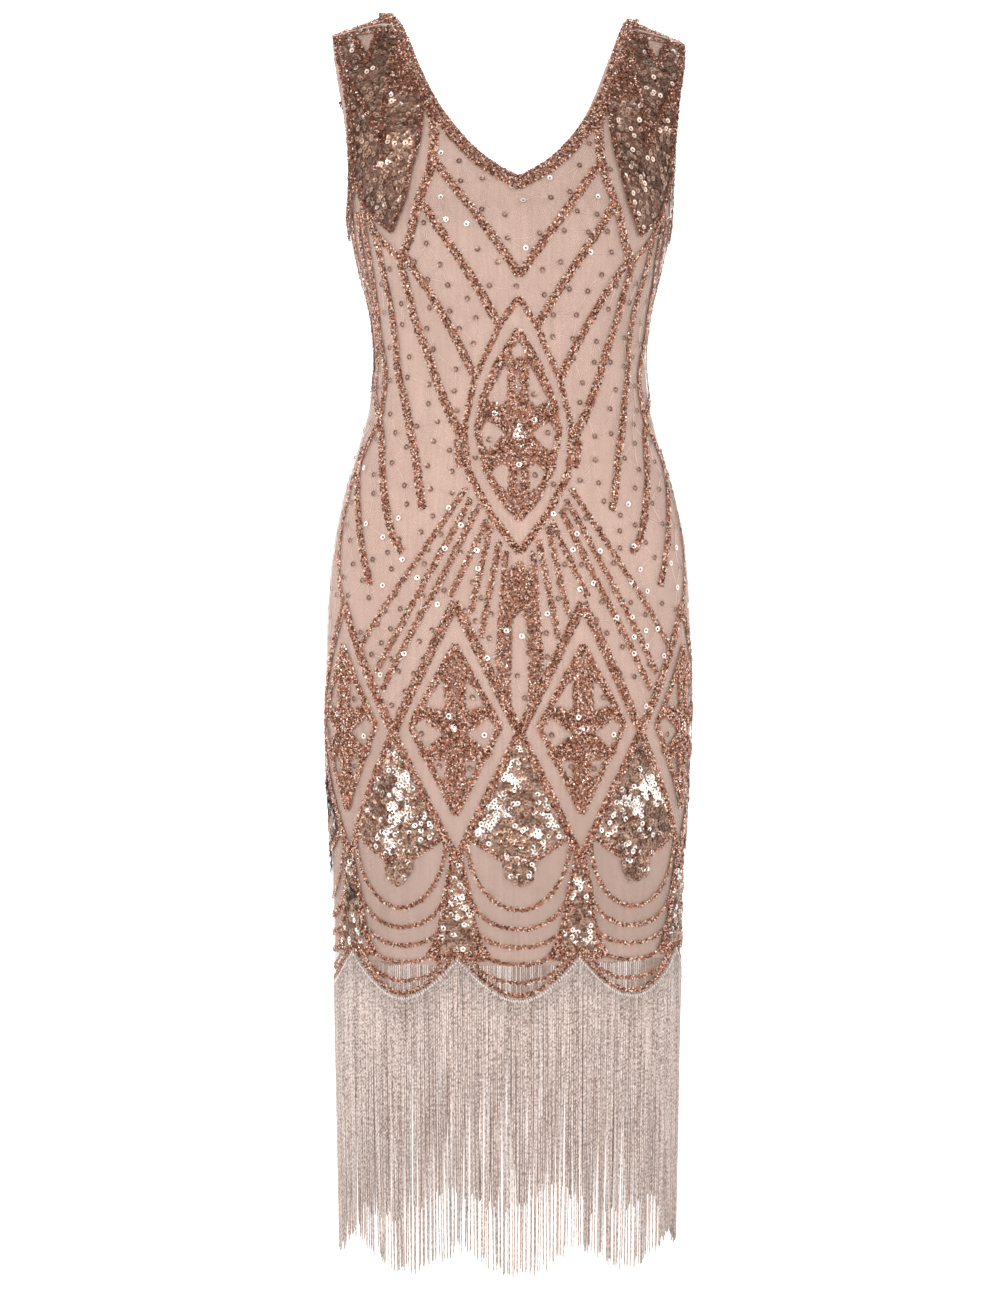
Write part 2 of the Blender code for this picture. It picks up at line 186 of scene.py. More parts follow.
GRID = np.zeros((len(T), ACROSS, 3))
HALF = np.zeros(len(T))         # length from the centre line to the side
NECK_AT = np.zeros(len(T))      # length from the centre line to the neck edge
ARM_AT = np.zeros(len(T))       # and to the armhole edge
for row in range(len(T)):
    curve = section(row)
    length = lengths(curve)
    HALF[row] = length[-1]
    GRID[row] = along(np.linspace(0, length[-1], ACROSS), length, curve)
    NECK_AT[row] = np.interp(NECK[row], curve[:, 0], length)
    ARM_AT[row] = np.interp(ARM[row], curve[:, 0], length)
NORMAL = unit(np.cross(np.gradient(GRID, axis=0), np.gradient(GRID, axis=1)))
NORMAL[:, 0] = NORMAL[:, 1] * (0, 1, 1)
NORMAL[:, -1] = NORMAL[:, -2] * (1, 0, 1)
STRAP_MIDDLE = 0.135            # from the centre line, where lengths down the cloth are taken
# length down the cloth from the shoulder ridge; below 0 on the back
DOWN_CLOTH = lengths(np.concatenate([
    along([STRAP_MIDDLE], np.linspace(0, HALF[row], ACROSS), GRID[row]) for row in range(len(T))
]))
DOWN_CLOTH -= DOWN_CLOTH[LAST * STEPS]


def look_up(table, t, share):
    """The table's values at rows t and shares (0 to 1) of half a section."""
    r = np.clip((t + LAST) * STEPS, 0, len(T) - 1.001)
    q = np.minimum(np.clip(share, 0, 1) * (ACROSS - 1), ACROSS - 1.001)
    i, j = r.astype(int), q.astype(int)
    f, g = (r - i)[..., None], (q - j)[..., None]
    low = table[i, j] * (1 - g) + table[i, j + 1] * g
    high = table[i + 1, j] * (1 - g) + table[i + 1, j + 1] * g
    return low * (1 - f) + high * f


def half_at(t):
    return np.interp(t, T, HALF)


def t_at(level, side):
    """The row of a level on the front (side 1) or on the back (side -1)."""
    front = T >= 0
    return side * np.interp(-np.asarray(level, float), -LEVEL[front], T[front])


# Soft creases, listed: column, top and foot level, width in columns, and how far
# the cloth stands out (or in, if below 0).  Lengths, depths and spacing are uneven.
CREASE_DEPTH = 2.1 * MM
RUNS_OUT = -0.9                 # a crease whose foot is lower runs out over the hem
CREASES = [
    (1.6, -0.30, -0.46, 0.9, -0.9), (4.4, -0.27, -0.44, 0.8, 0.8),
    (7.7, -0.24, -0.41, 1.0, -1.2), (10.2, -0.23, -0.40, 0.9, 1.0),
    (12.3, -0.25, -0.47, 1.1, -1.3), (14.9, -0.27, -0.43, 0.9, 1.0),
    (18.1, -0.25, -0.46, 1.1, -1.1), (21.4, -0.29, -0.42, 0.9, 0.9),
    (24.3, -0.26, -0.45, 1.2, -1.2), (27.9, -0.28, -0.44, 0.9, 0.9),
    (31.2, -0.24, -0.42, 1.0, -1.0), (34.6, -0.26, -0.45, 0.9, 1.0),
    (37.1, -0.23, -0.41, 1.1, -1.2), (40.3, -0.25, -0.44, 0.9, 0.9),
    (43.0, -0.29, -0.43, 1.0, -0.8), (46.2, -0.28, -0.47, 0.9, 0.8),
    (0.9, -0.60, -0.95, 1.5, 0.9), (4.9, -0.56, -0.95, 1.4, -1.4),
    (8.6, -0.63, -0.95, 1.6, 1.5), (11.7, -0.52, -0.95, 1.3, -1.6),
    (15.4, -0.60, -0.95, 1.5, 1.3), (18.8, -0.55, -0.95, 1.4, -1.5),
    (22.3, -0.64, -0.95, 1.6, 1.4), (26.0, -0.58, -0.95, 1.4, -1.3),
    (29.6, -0.55, -0.95, 1.6, 1.5), (33.1, -0.62, -0.95, 1.3, -1.5),
    (36.7, -0.53, -0.95, 1.4, 1.4), (40.4, -0.60, -0.95, 1.5, -1.4),
    (43.9, -0.57, -0.95, 1.5, 1.3), (8.9, -0.19, -0.26, 1.1, -1.4),
    (39.1, -0.19, -0.27, 1.1, -1.4), (15.6, -0.19, -0.26, 1.1, -1.3),
    (32.4, -0.19, -0.26, 1.1, -1.3),
]


def crease(column, level):
    """How far the creases move the cloth out at a spot."""
    out = np.zeros(np.broadcast(column, level).shape)
    for middle, top, foot, width, height in CREASES:
        drift = 0.5 * math.sin(middle * 3.1) * (level - top) / 0.2
        away = (column - middle - drift + BACK) % COLUMNS - BACK
        down_it = np.clip((top - level) / (top - foot), 0, 1)
        turn = 0.5 * math.pi * down_it if foot < RUNS_OUT else math.pi * down_it ** 0.8
        out += CREASE_DEPTH * height * np.exp(-((away / width) ** 2)) * np.sin(turn)
    return out


def on_cloth(t, share, hand, out=0.0):
    """Points and normals at row t and share of half a section; hand is -1 on the right half."""
    given = (np.asarray(each, float) for each in (t, share, hand, out))
    t, share, hand, out = np.broadcast_arrays(*given)
    flip = np.where(hand[..., None] < 0, (-1, 1, 1), (1, 1, 1))
    points = look_up(GRID, t, share) * flip
    normals = unit(look_up(NORMAL, t, share)) * flip
    turn = np.where(t < 0, BACK - PANEL * share, PANEL * share)
    moved = crease(np.where(hand < 0, COLUMNS - turn, turn), np.interp(t, T, LEVEL))
    return points + normals * (out + moved)[..., None], normals


def spot(column, level, out=0.0):
    """Points and normals at (column, level), moved out by `out`; all may be arrays."""
    column, level = np.broadcast_arrays(np.asarray(column, float), np.asarray(level, float))
    turn = column % COLUMNS
    hand = np.where(turn > BACK, -1, 1)
    turn = np.where(turn > BACK, COLUMNS - turn, turn)
    behind = turn > PANEL
    share = np.where(behind, BACK - turn, turn) / PANEL
    t = np.where(behind, t_at(level, -1), t_at(level, 1))
    return on_cloth(t, share, hand, out)


def side_of(column):
    return -1 if PANEL < column % COLUMNS < COLUMNS - PANEL else 1


def hem_level(column):
    turns = np.asarray(column, float) / SCALLOP + 0.5
    return CUSP_LEVEL - SCALLOP_DEPTH * np.abs(np.sin(math.pi * turns))


# ---------------------------------------------------------------- meshes
def add_mesh(name, points, faces, materials, is_smooth=False, numbers=None):
    """A new object of triangles or quads; numbers are its faces' materials."""
    mesh = bpy.data.meshes.new(name)
    points = np.asarray(points, dtype=np.float32)
    faces = np.asarray(faces, dtype=np.int32)
    mesh.vertices.add(len(points))
    mesh.vertices.foreach_set("co", points.ravel())
    mesh.loops.add(faces.size)
    mesh.loops.foreach_set("vertex_index", faces.ravel())
    mesh.polygons.add(len(faces))
    starts = np.arange(0, faces.size, faces.shape[1], dtype=np.int32)
    mesh.polygons.foreach_set("loop_start", starts)
    for material in materials:
        mesh.materials.append(material)
    if numbers is not None:
        mesh.polygons.foreach_set("material_index", np.asarray(numbers, dtype=np.int32))
    mesh.update(calc_edges=True)
    mesh.polygons.foreach_set("use_smooth", np.full(len(faces), is_smooth))
    mesh.validate()
    obj = bpy.data.objects.new(name, mesh)
    bpy.context.collection.objects.link(obj)
    return obj


def wear(obj, slot, *nodes):
    """Every piece rides on the one body, and may stand for CAD nodes."""
    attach(obj, "root")
    if nodes:
        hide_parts(*nodes)
    return obj


def sheet_faces(rows, columns, closed=False):
    """Quads over a grid of rows x columns points; closed joins the last column to the first."""
    wide = columns if closed else columns - 1
    i, j = np.meshgrid(np.arange(rows - 1), np.arange(wide), indexing="ij")
    near, far = i * columns, (i + 1) * columns
    j2 = (j + 1) % columns
    return np.stack([near + j, near + j2, far + j2, far + j], axis=-1).reshape(-1, 4)


def repeated(faces, count, step):
    """The faces of one part, for `count` like parts of `step` points each."""
    every = faces[None] + np.arange(count)[:, None, None] * step
    return every.reshape(-1, faces.shape[1])


def tubes(name, rings, material, ends=np.zeros((0, 4), int)):
    """One mesh of like tubes: rings is an array (tube, row, corner, 3)."""
    rings = np.asarray(rings)
    count, rows, sides = rings.shape[:3]
    faces = np.concatenate([sheet_faces(rows, sides, True), ends])
    faces = repeated(faces, count, rows * sides)
    return add_mesh(name, rings.reshape(-1, 3), faces, [material], True)


# ---------------------------------------------------------------- materials
class Finish:
    """A material, with short calls that add its nodes and join them."""

    def __init__(self, name, **values):
        self.material = bpy.data.materials.new(name)
        self.material.use_nodes = True
        self.tree = self.material.node_tree
        self.shader = self.tree.nodes["Principled BSDF"]
        self.set(self.shader, values)

    def set(self, node, values):
        """Sets inputs by name; an underscore stands for a space."""
        for key, value in values.items():
            node.inputs[key.replace("_", " ")].default_value = value

    def add(self, kind, *sources, out=0, operation=None, **values):
        """A node whose first inputs come from `sources`; gives one of its outputs."""
        node = self.tree.nodes.new("ShaderNode" + kind)
        if operation:
            node.operation = operation
        self.set(node, values)
        for source, socket in zip(sources, node.inputs):
            self.tree.links.new(source, socket)
        return node.outputs[out]

    def join(self, source, socket):
        self.tree.links.new(source, self.shader.inputs[socket])

    def place(self):
        return self.add("TexCoord", out="Object")

    def stretch(self, source, *scale):
        return self.add("Mapping", source, Scale=scale)

    def ramp(self, source, stops):
        colour = self.add("ValToRGB", source)
        elements = colour.node.color_ramp.elements
        while len(elements) < len(stops):
            elements.new(0.5)
        for element, (position, value) in zip(elements, stops):
            element.position = position
            element.color = (*value, 1.0)
        return colour

    def noise(self, scale, stops, detail=2.0):
        """A base colour that wanders between the stops, `scale` cycles to a metre."""
        spots = self.add("TexNoise", self.place(), Scale=scale, Detail=detail)
        self.join(self.ramp(spots, stops), "Base Color")
        return self

    def paint_shade(self):
        """Multiplies the base colour by painted shade: faint upright streaks of painted fold shade,
        and darker at the hem and straps, where less light falls.
        """
        place = self.place()
        # faint upright streaks of painted shade, standing for soft vertical folds
        streak = self.stretch(place, 1.0, 1.0, 0.035)
        streak = self.add("TexNoise", streak, Scale=330.0, Detail=2.0)
        streak_shade = {"From_Min": 0.3, "From_Max": 0.7, "To_Min": 0.905, "To_Max": 1.065}
        streak_shade = self.add("MapRange", streak, **streak_shade)
        # painted shade by height: darker near the hem and at the straps, where less light falls
        height = self.add("SeparateXYZ", place, out="Z")
        height = self.add("MapRange", height, From_Min=-0.9, From_Max=0.0)
        shades = self.ramp(height, [(at, (factor,) * 3) for at, factor in PAINTED_SHADE_BY_HEIGHT])
        colour = self.shader.inputs["Base Color"].links[0].from_socket
        for factor in (shades, streak_shade):
            colour = self.add("VectorMath", colour, factor, operation="MULTIPLY")
        self.join(colour, "Base Color")
        return self

    def bump(self, height, strength, distance):
        normal = self.add("Bump", Strength=strength, Distance=distance)
        self.tree.links.new(height, normal.node.inputs["Height"])
        self.join(normal, "Normal")
        return self

    def threads(self, turn, pitch, thin):
        """Straight threads on the cloth's map, `pitch` metres apart: 1 on a thread, 0 between."""
        turned = self.add("Mapping", self.add("UVMap"), Rotation=(0, 0, math.radians(turn)))
        wave = self.add("TexWave", turned, out="Fac", Scale=math.pi / (10 * pitch), Distortion=0.0)
        wave.node.wave_type = "BANDS"
        wave.node.bands_direction = "X"
        return self.add("MapRange", wave, From_Min=1 - thin, From_Max=1.0)

    def most(self, *masks):
        """The greatest of the masks at each spot."""
        found = masks[0]
        for mask in masks[1:]:
            found = self.add("Math", found, mask, operation="MAXIMUM")
        return found


# share of the way from the hem (0) to the shoulder (1), and the painted shade there: a factor on
# the cloth's colour, darker near the hem and at the straps
PAINTED_SHADE_BY_HEIGHT = ((0.0, 0.97), (0.07, 0.78), (0.15, 0.81), (0.27, 0.92), (0.48, 0.99), (0.78, 0.89))


def make_lining():
    finish = Finish("blush_lining", Roughness=0.62, Sheen_Weight=0.15, Sheen_Roughness=0.5)
    finish.noise(9.0, [(0.30, (0.655, 0.462, 0.385)), (0.70, (0.725, 0.530, 0.445))]).paint_shade()
    weave = finish.most(*(finish.threads(turn, 0.0006, 0.9) for turn in (0, 90)))
    return finish.bump(weave, 0.25, 0.0002).material


def make_net():
    """Fine tulle: a six-sided mesh of threads, clear between them."""
    finish = Finish("blush_net", Roughness=0.7)
    finish.noise(14.0, [(0.3, (0.595, 0.412, 0.338)), (0.7, (0.675, 0.483, 0.403))]).paint_shade()
    mesh = finish.most(*(finish.threads(turn, 0.0011, 0.42) for turn in (0, 60, 120)))
    finish.join(finish.add("MapRange", mesh, To_Min=0.06, To_Max=0.40), "Alpha")
    return finish.material


def make_bead(name, dark, light, roughness, metallic, coat=0.1):
    finish = Finish(name, Roughness=roughness, Metallic=metallic, Specular_IOR_Level=0.3,
                    Coat_Weight=coat, Coat_Roughness=0.08)
    return finish.noise(420.0, [(0.36, dark), (0.64, light)], 0.0).material


def make_yarn():
    """Two-ply rayon yarn: a slanting ply, broken up along the strand, and fine lines down it."""
    finish = Finish("blush_fringe_yarn", Roughness=0.5, Sheen_Weight=0.2)
    uv = finish.add("UVMap")
    ply = finish.threads(32, 0.0016, 1.3)
    grain = finish.add("TexNoise", finish.stretch(uv, 1.0, 0.5, 1.0), Scale=800.0, Detail=1.0)
    lines = finish.add("TexNoise", finish.stretch(uv, 1.0, 0.03, 1.0), Scale=380.0, Detail=1.0)
    lines = finish.add("MapRange", lines, To_Min=-0.24, To_Max=0.24)
    both = finish.add("Math", ply, operation="MULTIPLY_ADD")
    both.node.inputs[1].default_value = 0.14
    finish.tree.links.new(grain, both.node.inputs[2])
    shade = finish.add("Math", both, lines, operation="ADD")
    finish.join(finish.ramp(shade, YARN_COLOURS), "Base Color")
    return finish.paint_shade().bump(ply, 0.25, 0.0003).material


def make_plain(name, dark, light, roughness, scale):
    return Finish(name, Roughness=roughness).noise(scale, [(0.3, dark), (0.7, light)]).material


YARN_COLOURS = [
    (0.38, (0.24, 0.161, 0.136)), (0.56, (0.51, 0.398, 0.349)), (0.75, (0.78, 0.656, 0.595)),
]
NET = make_net()
LINING = make_lining()
YARN = make_yarn()
HEADING = make_plain("heading_stitch", (0.86, 0.77, 0.71), (1.0, 0.93, 0.88), 0.5, 300.0)
THREAD = make_plain("sewing_thread", (0.78, 0.62, 0.55), (0.86, 0.72, 0.64), 0.5, 300.0)
GLITTER = [
    make_bead("rose_beads", (0.35, 0.130, 0.076), (0.70, 0.315, 0.200), 0.25, 0.35),
    make_bead("copper_beads", (0.075, 0.025, 0.013), (0.21, 0.078, 0.043), 0.25, 0.4),
    # pale beads: a paler bead colour, and partly painted glint among the lines' beads
    make_bead("pale_glint_beads", (0.80, 0.53, 0.41), (1.0, 0.82, 0.71), 0.18, 0.25, 0.4),
    make_bead("taupe_sequins", (0.27, 0.156, 0.109), (0.47, 0.292, 0.214), 0.26, 0.55),
    # near-white sequins: painted glints, though metallic and glossy as well
    make_bead("painted_glint_sequins", (0.93, 0.83, 0.75), (1.0, 0.96, 0.92), 0.12, 0.6, 0.4),
    # dark thread under the beads: stitching, and painted shade between the beads
    make_plain("bead_thread_and_shade", (0.20, 0.085, 0.054), (0.35, 0.175, 0.122), 0.6, 500.0),
    make_bead("brown_sequins", (0.135, 0.068, 0.047), (0.265, 0.142, 0.100), 0.28, 0.45),
]


# ---------------------------------------------------------------- cloth
TO_HEM = 22.0                   # row from which the cloth's own rows follow its hem
FRONT_ROWS = 64                 # of faces' corners down to there
BACK_ROWS = 67
CORNERS_ACROSS = 37
SIDE_GAP = 0.15 * MM            # half the gap between front and back along the side seam


def cloth(name, side, hem, out, thick, material):
    """Front or back panel as a thin closed shell, both halves joined on the centre line."""
    if side > 0:
        rows = np.linspace(1.0, TO_HEM, FRONT_ROWS)
    else:
        rows = np.concatenate([[0.985, 0.66, 0.33], np.linspace(0.0, -TO_HEM, BACK_ROWS)])
    across = np.linspace(0.0, 1.0, CORNERS_ACROSS)
    t = np.repeat(rows[:, None], len(across), axis=1)
    low, high = (np.interp(t, T, edge) / half_at(t) for edge in (NECK_AT, ARM_AT))
    share = low + (high - low) * across
    start = TO_HEM * side
    to_hem = t_at(hem(PANEL * across), side) - start
    foot = np.stack([start + to_hem * f for f in (0.2, 0.4, 0.6, 0.8, 0.93, 1.0)])
    t = np.concatenate([t, foot])
    share = np.concatenate([share, np.repeat(across[None], len(foot), axis=0)])
    at_side = (share > 0.999) & (np.abs(t) >= UNDERARM)
    share = np.where(at_side, 1 - SIDE_GAP / half_at(t), share)
    height, wide = t.shape
    down_it = np.interp(t, T, DOWN_CLOTH)
    layers, maps = [], []
    for moved in (out, out - thick):
        for hand in (1, -1):
            layers.append(on_cloth(t, share, np.full(t.shape, hand), moved)[0].reshape(-1, 3))
            maps.append(np.stack([hand * share * half_at(t), down_it], axis=-1).reshape(-1, 2))
    number = np.arange(height * wide)
    left = np.where(share.ravel() < 1e-9, number, number + height * wide)
    quads = sheet_faces(height, wide)
    outer = np.concatenate([quads[:, ::-1], left[quads]])
    count = 2 * height * wide
    edges = {}                  # those that only one quad has
    for quad in outer.tolist():
        for start, end in zip(quad, quad[1:] + quad[:1]):
            if (end, start) in edges:
                del edges[end, start]
            else:
                edges[start, end] = True
    rim = np.array([(end, start, start + count, end + count) for start, end in edges])
    if side < 0:
        outer = outer[:, ::-1]
        rim = rim[:, ::-1]
    faces = np.concatenate([outer, outer[:, ::-1] + count, rim])
    used, numbers = np.unique(faces, return_inverse=True)
    points = np.concatenate(layers)[used]
    obj = add_mesh(name, points, numbers.reshape(faces.shape), [material], True)
    give_uv(obj, np.concatenate(maps)[used])
    return obj


def give_uv(obj, places):
    mesh = obj.data
    corner = np.zeros(len(mesh.loops), dtype=np.int32)
    mesh.loops.foreach_get("vertex_index", corner)
    layer = mesh.uv_layers.new(name="cloth")
    layer.data.foreach_set("uv", places[corner].astype(np.float32).ravel())


# ---------------------------------------------------------------- beads and sequins
ROSE, COPPER, PALE_AND_GLINT, TAUPE, PAINTED_GLINT, STITCH_AND_SHADE, BROWN = range(7)
BEAD_LENGTH = 2.5 * MM
BEAD_RADIUS = 0.64 * MM
BEAD_AREA = 1.8 * MM * MM       # net covered by one bead of a line
FILL_AREA = 2.1 * MM * MM       # and of a filled petal
BEAD_FACES = np.array([(0, 1, 4), (1, 2, 4), (2, 3, 4), (3, 0, 4)])


def band(near, far, step):
    """Triangles between a row of points, each with the next, and the row `step` on."""
    corners = (near, far, far + step), (near, far + step, near + step)
    return np.concatenate([np.stack(each, 1) for each in corners])


class Trim:
    """Gathers the beads and sequins of one piece, then makes them as one mesh."""

    def __init__(self):
        self.points, self.faces, self.kinds, self.count = [], [], [], 0

    def take(self, points, faces, kinds):
        """points: (n, k, 3); faces: (f, 3) inside each part; kinds: (n,) material numbers."""
        n, k = points.shape[:2]
        self.points.append(points.reshape(-1, 3))
        self.faces.append(repeated(faces, n, k) + self.count)
        self.kinds.append(np.repeat(kinds, len(faces)))
        self.count += n * k

    def beads(self, centres, axes, normals, share_dark):
        """Cut bugle beads lying on the net, each with four facets to the outside."""
        n = len(centres)
        if n == 0:
            return
        half = axes * (BEAD_LENGTH / 2 * RNG.uniform(0.7, 1.15, n))[:, None]
        radius = (BEAD_RADIUS * RNG.uniform(0.8, 1.15, n))[:, None]
        sides = unit(np.cross(axes, normals)) * radius
        tops = centres + normals * radius * 1.2 + RNG.normal(0, 0.5, (n, 3)) * radius
        corners = [centres - half, centres + sides, centres + half, centres - sides, tops]
        # the pale beads are partly painted glint
        pale = 0.38 * (1 - share_dark)
        kinds = RNG.choice(3, n, p=(1 - share_dark - pale, share_dark, pale))
        self.take(np.stack(corners, axis=1), BEAD_FACES, kinds)

    def ribbon(self, points, normals, low, high, hand):
        """The stitched thread under a line of beads, dark to paint the shade between them, from
        `low` to `high` beside the path.
        """
        n = len(points)
        heading = unit(np.gradient(points, axis=0))
        aside = np.cross(normals, heading)
        base = points + normals * 0.12 * MM
        edges = [
            base + aside * (edge + RNG.normal(0, 0.3, n) * MM)[:, None] for edge in (low, high)
        ]
        if hand:
            for edge in edges:
                edge[:, 0] = np.maximum(edge[:, 0] * hand, 0) * hand
        i = np.arange(n - 1)
        self.take(np.concatenate(edges)[None], band(i, i + 1, n), [STITCH_AND_SHADE])

    def flakes(self, points, normals, size):
        """The stitched thread under a filled shape, dark to paint the shade between its beads, as
        small overlapping patches.
        """
        turn = RNG.uniform(0, 2 * math.pi, len(points))[:, None]
        across = unit(np.cross(normals, (0, 0, 1)))
        a = turned(across, np.cross(normals, across), turn)
        b = np.cross(normals, a)
        centres = points + normals * (0.1 + RNG.uniform(0, 0.1, len(points))[:, None]) * MM
        square = ((-1, -1), (1, -1), (1, 1), (-1, 1))
        corners = np.stack([centres + (a * x + b * y) * size / 2 for x, y in square], axis=1)
        self.take(corners, np.array([(0, 1, 2), (0, 2, 3)]), np.full(len(points), STITCH_AND_SHADE))

    def sequins(self, centres, normals, radius, kinds, sides=7, hole=0.36):
        """Rings, slightly cupped; a near-white one, a painted glint, has a dark knot in its hole.
        """
        helper = np.where(np.abs(normals[:, 2:3]) < 0.8, (0.0, 0.0, 1.0), (1.0, 0.0, 0.0))
        a = unit(np.cross(normals, helper))
        b = np.cross(normals, a)
        angle = RNG.uniform(0, 2 * math.pi, len(centres))[:, None] + round_turn(sides)
        rim = turned(a[:, None], b[:, None], angle[..., None])
        outer = centres[:, None] + rim * radius + normals[:, None] * radius * 0.10
        inner = centres[:, None] + rim * radius * hole
        i = np.arange(sides)
        j = (i + 1) % sides
        self.take(np.concatenate([outer, inner], axis=1), band(i, j, sides), kinds)
        knots = inner[np.asarray(kinds) == PAINTED_GLINT][:, ::max(1, sides // 3)][:, :3]
        self.take(knots, np.array([(0, 1, 2)]), np.full(len(knots), COPPER))

    def make(self, name, slot, *nodes):
        """The piece itself; it stands for the CAD nodes named."""
        obj = add_mesh(name, np.concatenate(self.points), np.concatenate(self.faces), GLITTER,
                       numbers=np.concatenate(self.kinds))
        return wear(obj, slot, *nodes)


def path(points, curved=False):
    """Points and normals every 1 mm or so along a path of (column, level) spots."""
    points = np.asarray(points, float)
    if curved:
        order = np.arange(len(points), dtype=float)
        at = np.linspace(0, len(points) - 1, 12 * (len(points) - 1) + 1)
        points = np.stack([smooth(order, each, at) for each in points.T], axis=1)
    pieces = [np.linspace(a, b, 24, endpoint=False) for a, b in zip(points[:-1], points[1:])]
    points = np.concatenate(pieces + [points[-1:]])
    return spot(*points.T)


FULLNESS = 1.22                 # beads at the edges of a line stand beyond its width
ROW_PITCH = 1.9 * MM            # of the rows of beads that a line is made of
SLANT = 0.85                    # radians, one way in a row and the other in the next
LIFT = 0.3 * MM                 # from the net to a bead's middle
LINE_POINTS = []                # places on every line, so that loose sequins keep clear of them


def stroke(trim, line, width, share_dark=0.38, density=1.0, inset=None, height=0.0, hand=0):
    """A line of beads sewn slantwise along a path of (points, normals), `width` wide.

    It is centred on the path, or starts `inset` to one side of it; all three are in millimetres.
    With a hand, beads past the centre line of the dress are left off.
    """
    width, height = width * MM * (FULLNESS if inset is None else 1.0), height * MM
    points, normals = line
    far = lengths(points)
    LINE_POINTS.append(points[::3])
    rows = max(2, int(round(width / ROW_PITCH)))
    step = BEAD_AREA / (width / rows) / density
    count = max(1, int(round(far[-1] / step)))
    first = -width / 2 if inset is None else inset * MM
    stops = np.linspace(0, far[-1], max(2, int(far[-1] / (3 * MM))))
    middle, out = along(stops, far, points), along(stops, far, normals)
    middle = middle + out * height * 0.8
    trim.ribbon(middle, unit(out), first + 0.2 * width, first + 0.8 * width, hand)
    for row in range(rows):
        at = (np.arange(count) + 0.5 + RNG.uniform(-0.45, 0.45, count)) / count * far[-1]
        here, up = along(at, far, points), unit(along(at, far, normals))
        heading = unit(along(at + MM, far, points) - along(at - MM, far, points))
        aside = np.cross(up, heading)
        offset = first + (row + 0.5) / rows * width + RNG.uniform(-0.75, 0.75, count) * MM
        lean = (SLANT if row % 2 else -SLANT) + RNG.normal(0, 0.40, count)
        tip = up * RNG.uniform(-0.15, 0.35, count)[:, None]
        axes = unit(turned(heading, aside, lean[:, None]) + tip)
        lift = LIFT + height + RNG.uniform(0, 0.7, count) * MM
        centres = here + aside * offset[:, None] + up * lift[:, None]
        keep = centres[:, 0] * hand > -0.5 * MM if hand else np.ones(count, bool)
        trim.beads(centres[keep], axes[keep], up[keep], share_dark)


GRID_ROWS = 0.87                # from row to row of spots, in their spacing


def fill(outline, spacing, jitter=0.36):
    """Spots spread over the inside of an outline of (column, level), about `spacing` apart."""
    outline = np.asarray(outline, float)
    column, level = np.mean(outline, axis=0)
    size = float(half_at(t_at(level, side_of(column)))) / PANEL
    border = outline * (size, 1)
    low, high = border.min(axis=0), border.max(axis=0)
    spots = []
    for number, level in enumerate(np.arange(low[1], high[1], spacing * GRID_ROWS)):
        xs = np.arange(low[0] - (number % 2) * spacing / 2, high[0] + spacing, spacing)
        spots.append(np.stack([xs, np.full(len(xs), level)], axis=1))
    spots = np.concatenate(spots)
    spots = spots + RNG.uniform(-jitter, jitter, spots.shape) * spacing
    return spots[inside(border, spots)] / (size, 1)


def inside(outline, spots):
    """Which of the flat spots lie inside the outline."""
    found = np.zeros(len(spots), bool)
    for (x0, y0), (x1, y1) in zip(outline, np.roll(outline, -1, axis=0)):
        if y0 == y1:
            continue
        crosses = (y0 > spots[:, 1]) != (y1 > spots[:, 1])
        found ^= crosses & (spots[:, 0] < x0 + (spots[:, 1] - y0) / (y1 - y0) * (x1 - x0))
    return found


def fill_beads(trim, outline, share_dark=0.35, density=1.0, gaps=(), height=0.0):
    """An outline filled with beads that lie every way, but for the outlines in `gaps`."""

    def spread(spacing, jitter):
        spots = fill(outline, spacing, jitter)
        for gap in gaps:
            spots = spots[~inside(gap, spots)]
        return spot(*spots.T, height * MM)

    trim.flakes(*spread(2.7 * MM, 0.2), 2.6 * MM)
    points, normals = spread(math.sqrt(FILL_AREA / GRID_ROWS / density), 0.36)
    count = len(points)
    across = unit(np.cross(normals, (0, 0, 1)))
    lean = RNG.uniform(0, math.pi, count)[:, None]
    tip = normals * RNG.uniform(-0.2, 0.4, count)[:, None]
    axes = unit(turned(across, np.cross(normals, across), lean) + tip)
    lift = LIFT + RNG.uniform(0, 0.8, count)[:, None] * MM
    trim.beads(points + normals * lift, axes, normals, share_dark)


WAVES = np.random.default_rng(31).normal(0, 1, (3, 6, 4))


def drift(points, cycle):
    """Three smooth random numbers at each point, alike over about `cycle` metres."""
    angle = points @ WAVES[..., :3].transpose(0, 2, 1) * (2.2 / cycle) + WAVES[:, None, :, 3] * 9
    return np.sin(angle).sum(axis=2).T / math.sqrt(3)


SEQUIN_RADIUS = 2.55 * MM
SEQUIN_SPACING = 3.1 * MM
TILT = 0.16
LEAN_PATCH = 0.016              # size of a patch in which sequins lean alike
GLINT_PATCH = 0.011             # and of one in which near-white sequins are painted as glints


